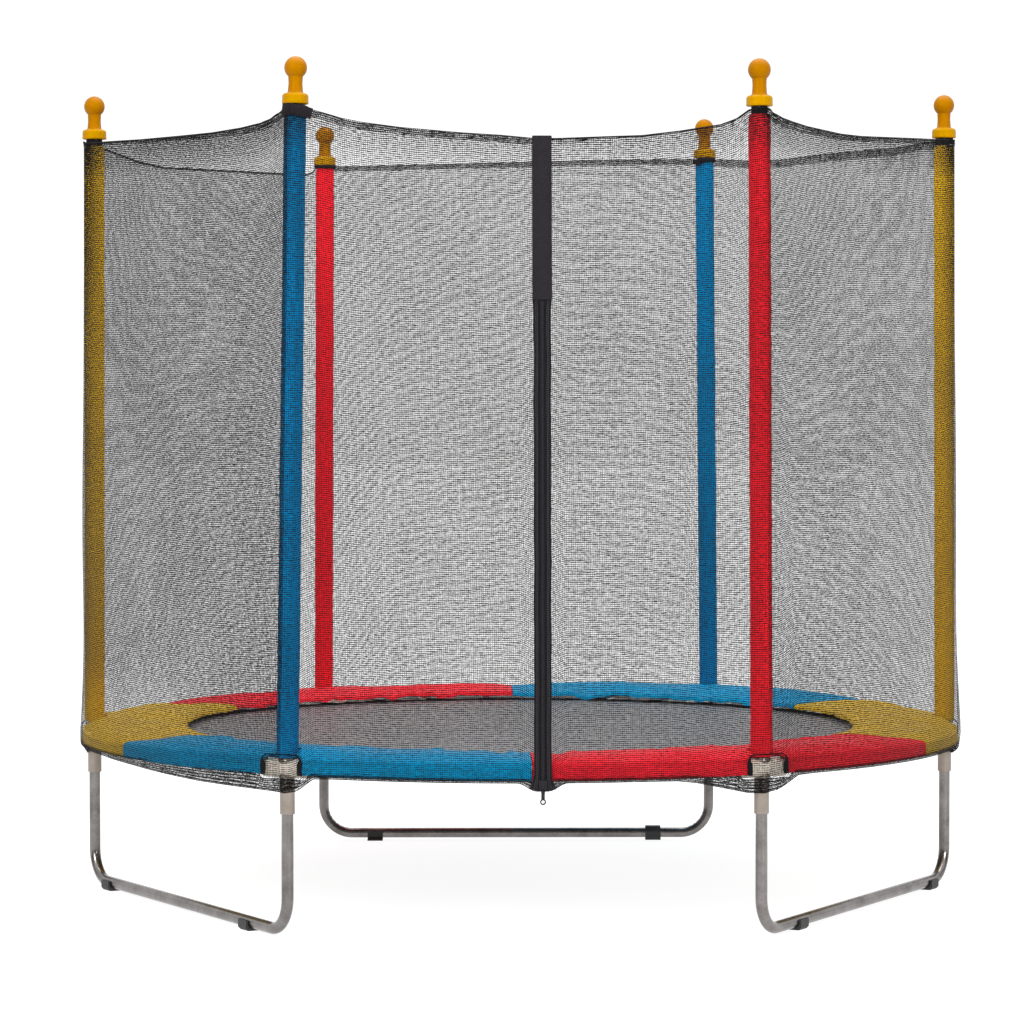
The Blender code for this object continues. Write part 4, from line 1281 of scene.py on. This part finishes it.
def tape_sheet(sign):
    """One half of the tape: wavy, flared at its foot, and closed under the cover above the coil."""
    shares = np.linspace(0, 1, TAPE_ROWS)
    rise = shares * ZIP_LENGTH
    drift = noise_along(shares, 16, 3.0, 1.0) * 0.0011
    wave = noise_along(shares, 30, sign * 5.0, 7.0) * 0.0013
    flare = bell(rise, 0.014) * 0.0062
    closed = smoothstep(0.690, 0.710, rise)
    columns = []
    for column, across in enumerate(TAPE_COLUMNS):
        spread = across / TAPE_COLUMNS[-1]
        reach = across - 0.0022 * (column == 0)
        x = sign * (reach * (1 + 0.14 * closed) + flare * spread**2) + drift * (1 - closed)
        lift = wave * spread * (1 - 0.7 * closed) + 0.0004 * (1 - spread)
        lift += bell(rise, 0.012) * 0.0012 * spread - 0.0003 * (sign > 0) * (column == 0)
        columns.append(zip_point(x, rise + flare * 0.6 * spread, lift))
    return np.stack(columns, axis=1)


def zip_point(x, y, z):
    """Points from their places across the zip, up it and out from it."""
    x, y, z = (part[..., None] for part in np.broadcast_arrays(x, y, z))
    return ZIP_LOW + ZIP_SIDE * x + ZIP_UP * y + ZIP_OUT * z


def seam_point(sheet, row, across):
    """A point just above a tape, between its rows and columns."""
    low = int(np.clip(math.floor(row), 0, TAPE_ROWS - 2))
    share = min(max(row - low, 0), 1)
    line = sheet[low] * (1 - share) + sheet[low + 1] * share
    return np.array([np.interp(across, TAPE_COLUMNS, line[:, axis]) for axis in range(3)]) + ZIP_OUT * 0.0003


def build_tape(name, sign):
    sheet = tape_sheet(sign)
    skins = np.concatenate([sheet, sheet[:, ::-1] - ZIP_OUT * 0.0011], axis=1)
    tape = build(f"zip_tape_{name}", grid_parts(skins, wrap_columns=True, caps=True), tape_paint, sharp=60)
    finish_piece(face_out(tape), "frame", "webbing_black", *(["zip_tape"] if sign < 0 else []))
    per_metre = (TAPE_ROWS - 1) / ZIP_LENGTH
    seams = []
    for across in (0.0070, 0.0092):
        for step in np.arange(0.004, ZIP_LENGTH - 0.004, 0.0034):
            stitch = [seam_point(sheet, (step + reach) * per_metre, across) for reach in (0, 0.0022)]
            seams.append(sweep(stitch, circle(0.00028, 5), first=ZIP_OUT))
    finish_piece(build(f"zip_stitch_{name}", seams, thread_dark, sharp=60), "frame", "webbing_black")
    cords = []
    for across, thick in ((0.0046, 0.0012), (0.0108, 0.0011)):
        rows = np.linspace(1, COVER_START / ZIP_LENGTH * TAPE_ROWS, 180)
        line = [seam_point(sheet, row, across) for row in rows]
        cords.append(sweep(line, circle(thick, 8), first=ZIP_OUT))
    finish_piece(build(f"zip_cord_{name}", cords, binding_paint, sharp=60), "frame", "webbing_black")


def build_coil():
    """Two rows of wire teeth; each tooth is one loop, in millimetres across, up and out."""
    local = (node_points("zip_coil") - ZIP_LOW) @ np.stack([ZIP_UP, ZIP_OUT], axis=1)
    start, end, level, pitch = local[:, 0].min(), local[:, 0].max(), local[:, 1].mean(), 0.0024
    loop = [(2.9, 0.0, -0.5), (2.2, 0.15, 0.55), (0.6, 0.3, 0.75), (-0.55, 0.1, 0.35), (-0.75, 0.0, 0.0)]
    loop += [(-0.55, -0.1, -0.35), (0.6, -0.3, -0.6), (2.4, -0.2, -0.75)]
    x, y, z = np.array(loop).T / 1000
    teeth = []
    for sign in (-1, 1):
        for step in range(int((end - start) / pitch)):
            foot = start + step * pitch + (pitch / 2 if sign > 0 else 0)
            teeth.append(sweep(zip_point(sign * x, foot + y, level + z), circle(0.00042, 5), first=ZIP_UP))
    finish_piece(build("zip_coil_teeth", teeth, coil_paint, sharp=80), "frame", "coil_black", "zip_coil")


def build_zip():
    build_tape("left", -1)
    build_tape("right", 1)
    climb = np.linspace(COVER_START, ZIP_LENGTH + 0.0006, 60)
    line = zip_point(noise_along(climb, 17, 9.0, 2.0) * 0.0006, climb, 0.0019)
    cover = build("zip_cover", sweep(line, slab(0.0272, 0.0011), first=ZIP_SIDE), tape_paint, sharp=50)
    finish_piece(cover, "frame", "webbing_black")
    build_coil()
    for node in ("zip_slider", "zip_pull"):
        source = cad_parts[node]
        mesh = source.data.copy()
        mesh.transform(source.matrix_world)
        mesh.materials.clear()
        cast = add_object(f"{node}_cast", mesh, zip_metal)
        bevel = cast.modifiers.new("bevel", "BEVEL")
        bevel.width = 0.00035
        bevel.segments = 3
        bevel.limit_method = "ANGLE"
        bevel.angle_limit = math.radians(35)
        apply_modifiers(cast)
        soften(cast.data, 35)
        finish_piece(cast, node, "zip_metal", node)


build_zip()


# ---------------- floor, light and camera

FLOOR_GLOW = 0.88
FLOOR_SHADE = 0.22
FLOOR_HALF = 40.0


def stage_paint():
    """A pale studio sweep, lit through so that it stays bright up to the horizon."""
    paint = Paint("floor_pale", Roughness=0.9, Specular_IOR_Level=0.2, Emission_Strength=FLOOR_GLOW)
    paint.set(Emission_Color=(1.0, 1.0, 1.0, 1.0))
    shade = paint.span(paint.noise(paint.place(), 0.8, 2.0), FLOOR_SHADE - 0.01, FLOOR_SHADE + 0.01)
    paint.link(paint.node("CombineColor", shade, shade, shade).outputs[0], "Base Color")
    return paint.material


def build_floor():
    corners = [(x * FLOOR_HALF, y * FLOOR_HALF, 0) for x, y in ((-1, -1), (1, -1), (1, 1), (-1, 1))]
    mesh = bpy.data.meshes.new("floor")
    mesh.from_pydata(corners, [], [(0, 1, 2, 3)])
    add_object("floor", mesh, stage_paint())


def build_world():
    """White behind the object and overhead, dim at the horizon in front of it."""
    world = bpy.data.worlds.new("studio")
    bpy.context.scene.world = world
    world.use_nodes = True
    tree = world.node_tree
    background = tree.nodes["Background"]
    where = tree.nodes.new("ShaderNodeTexCoord")
    parts = tree.nodes.new("ShaderNodeSeparateXYZ")
    tree.links.new(where.outputs["Generated"], parts.inputs[0])
    brightest = tree.nodes.new("ShaderNodeMath")
    brightest.operation = "MAXIMUM"
    for socket, (axis, *limits) in enumerate(((1, -0.10, 0.65, 0.20, 1.08), (2, 0.14, 0.62, 0.20, 1.20))):
        ramp = tree.nodes.new("ShaderNodeMapRange")
        ramp.interpolation_type = "SMOOTHSTEP"
        tree.links.new(parts.outputs[axis], ramp.inputs[0])
        for index, value in enumerate(limits, 1):
            ramp.inputs[index].default_value = value
        tree.links.new(ramp.outputs[0], brightest.inputs[socket])
    tree.links.new(brightest.outputs[0], background.inputs["Strength"])
    background.inputs["Color"].default_value = (1, 1, 1, 1)


def build_lamp(name, place, aim_height, size, power):
    data = bpy.data.lights.new(name, "AREA")
    data.shape = "RECTANGLE"
    data.size = data.size_y = size
    data.energy = power
    light = bpy.data.objects.new(name, data)
    bpy.context.collection.objects.link(light)
    light.location = place
    light.rotation_euler = (Vector((0, 0, aim_height)) - Vector(place)).to_track_quat("-Z", "Y").to_euler()


def build_camera():
    """The camera that was fitted to the photograph."""
    data = bpy.data.cameras.new("camera")
    data.lens = 124.1
    data.sensor_width = 36.0
    data.clip_end = 200
    camera = bpy.data.objects.new("camera", data)
    bpy.context.collection.objects.link(camera)
    camera.location = (-0.06396, -5.7184, 0.78046)
    camera.rotation_euler = (math.pi / 2 - 0.0305, 0.0, -0.0089)
    bpy.context.scene.camera = camera
    bpy.context.scene.view_settings.view_transform = "Standard"


build_floor()
build_world()
build_lamp("top", (0.3, -0.2, 4.2), 0.3, 4.0, 200)
build_lamp("key", (-2.6, -4.6, 2.6), 0.7, 1.6, 215)
build_lamp("fill", (2.8, -4.6, 1.8), 0.7, 1.6, 150)
build_camera()
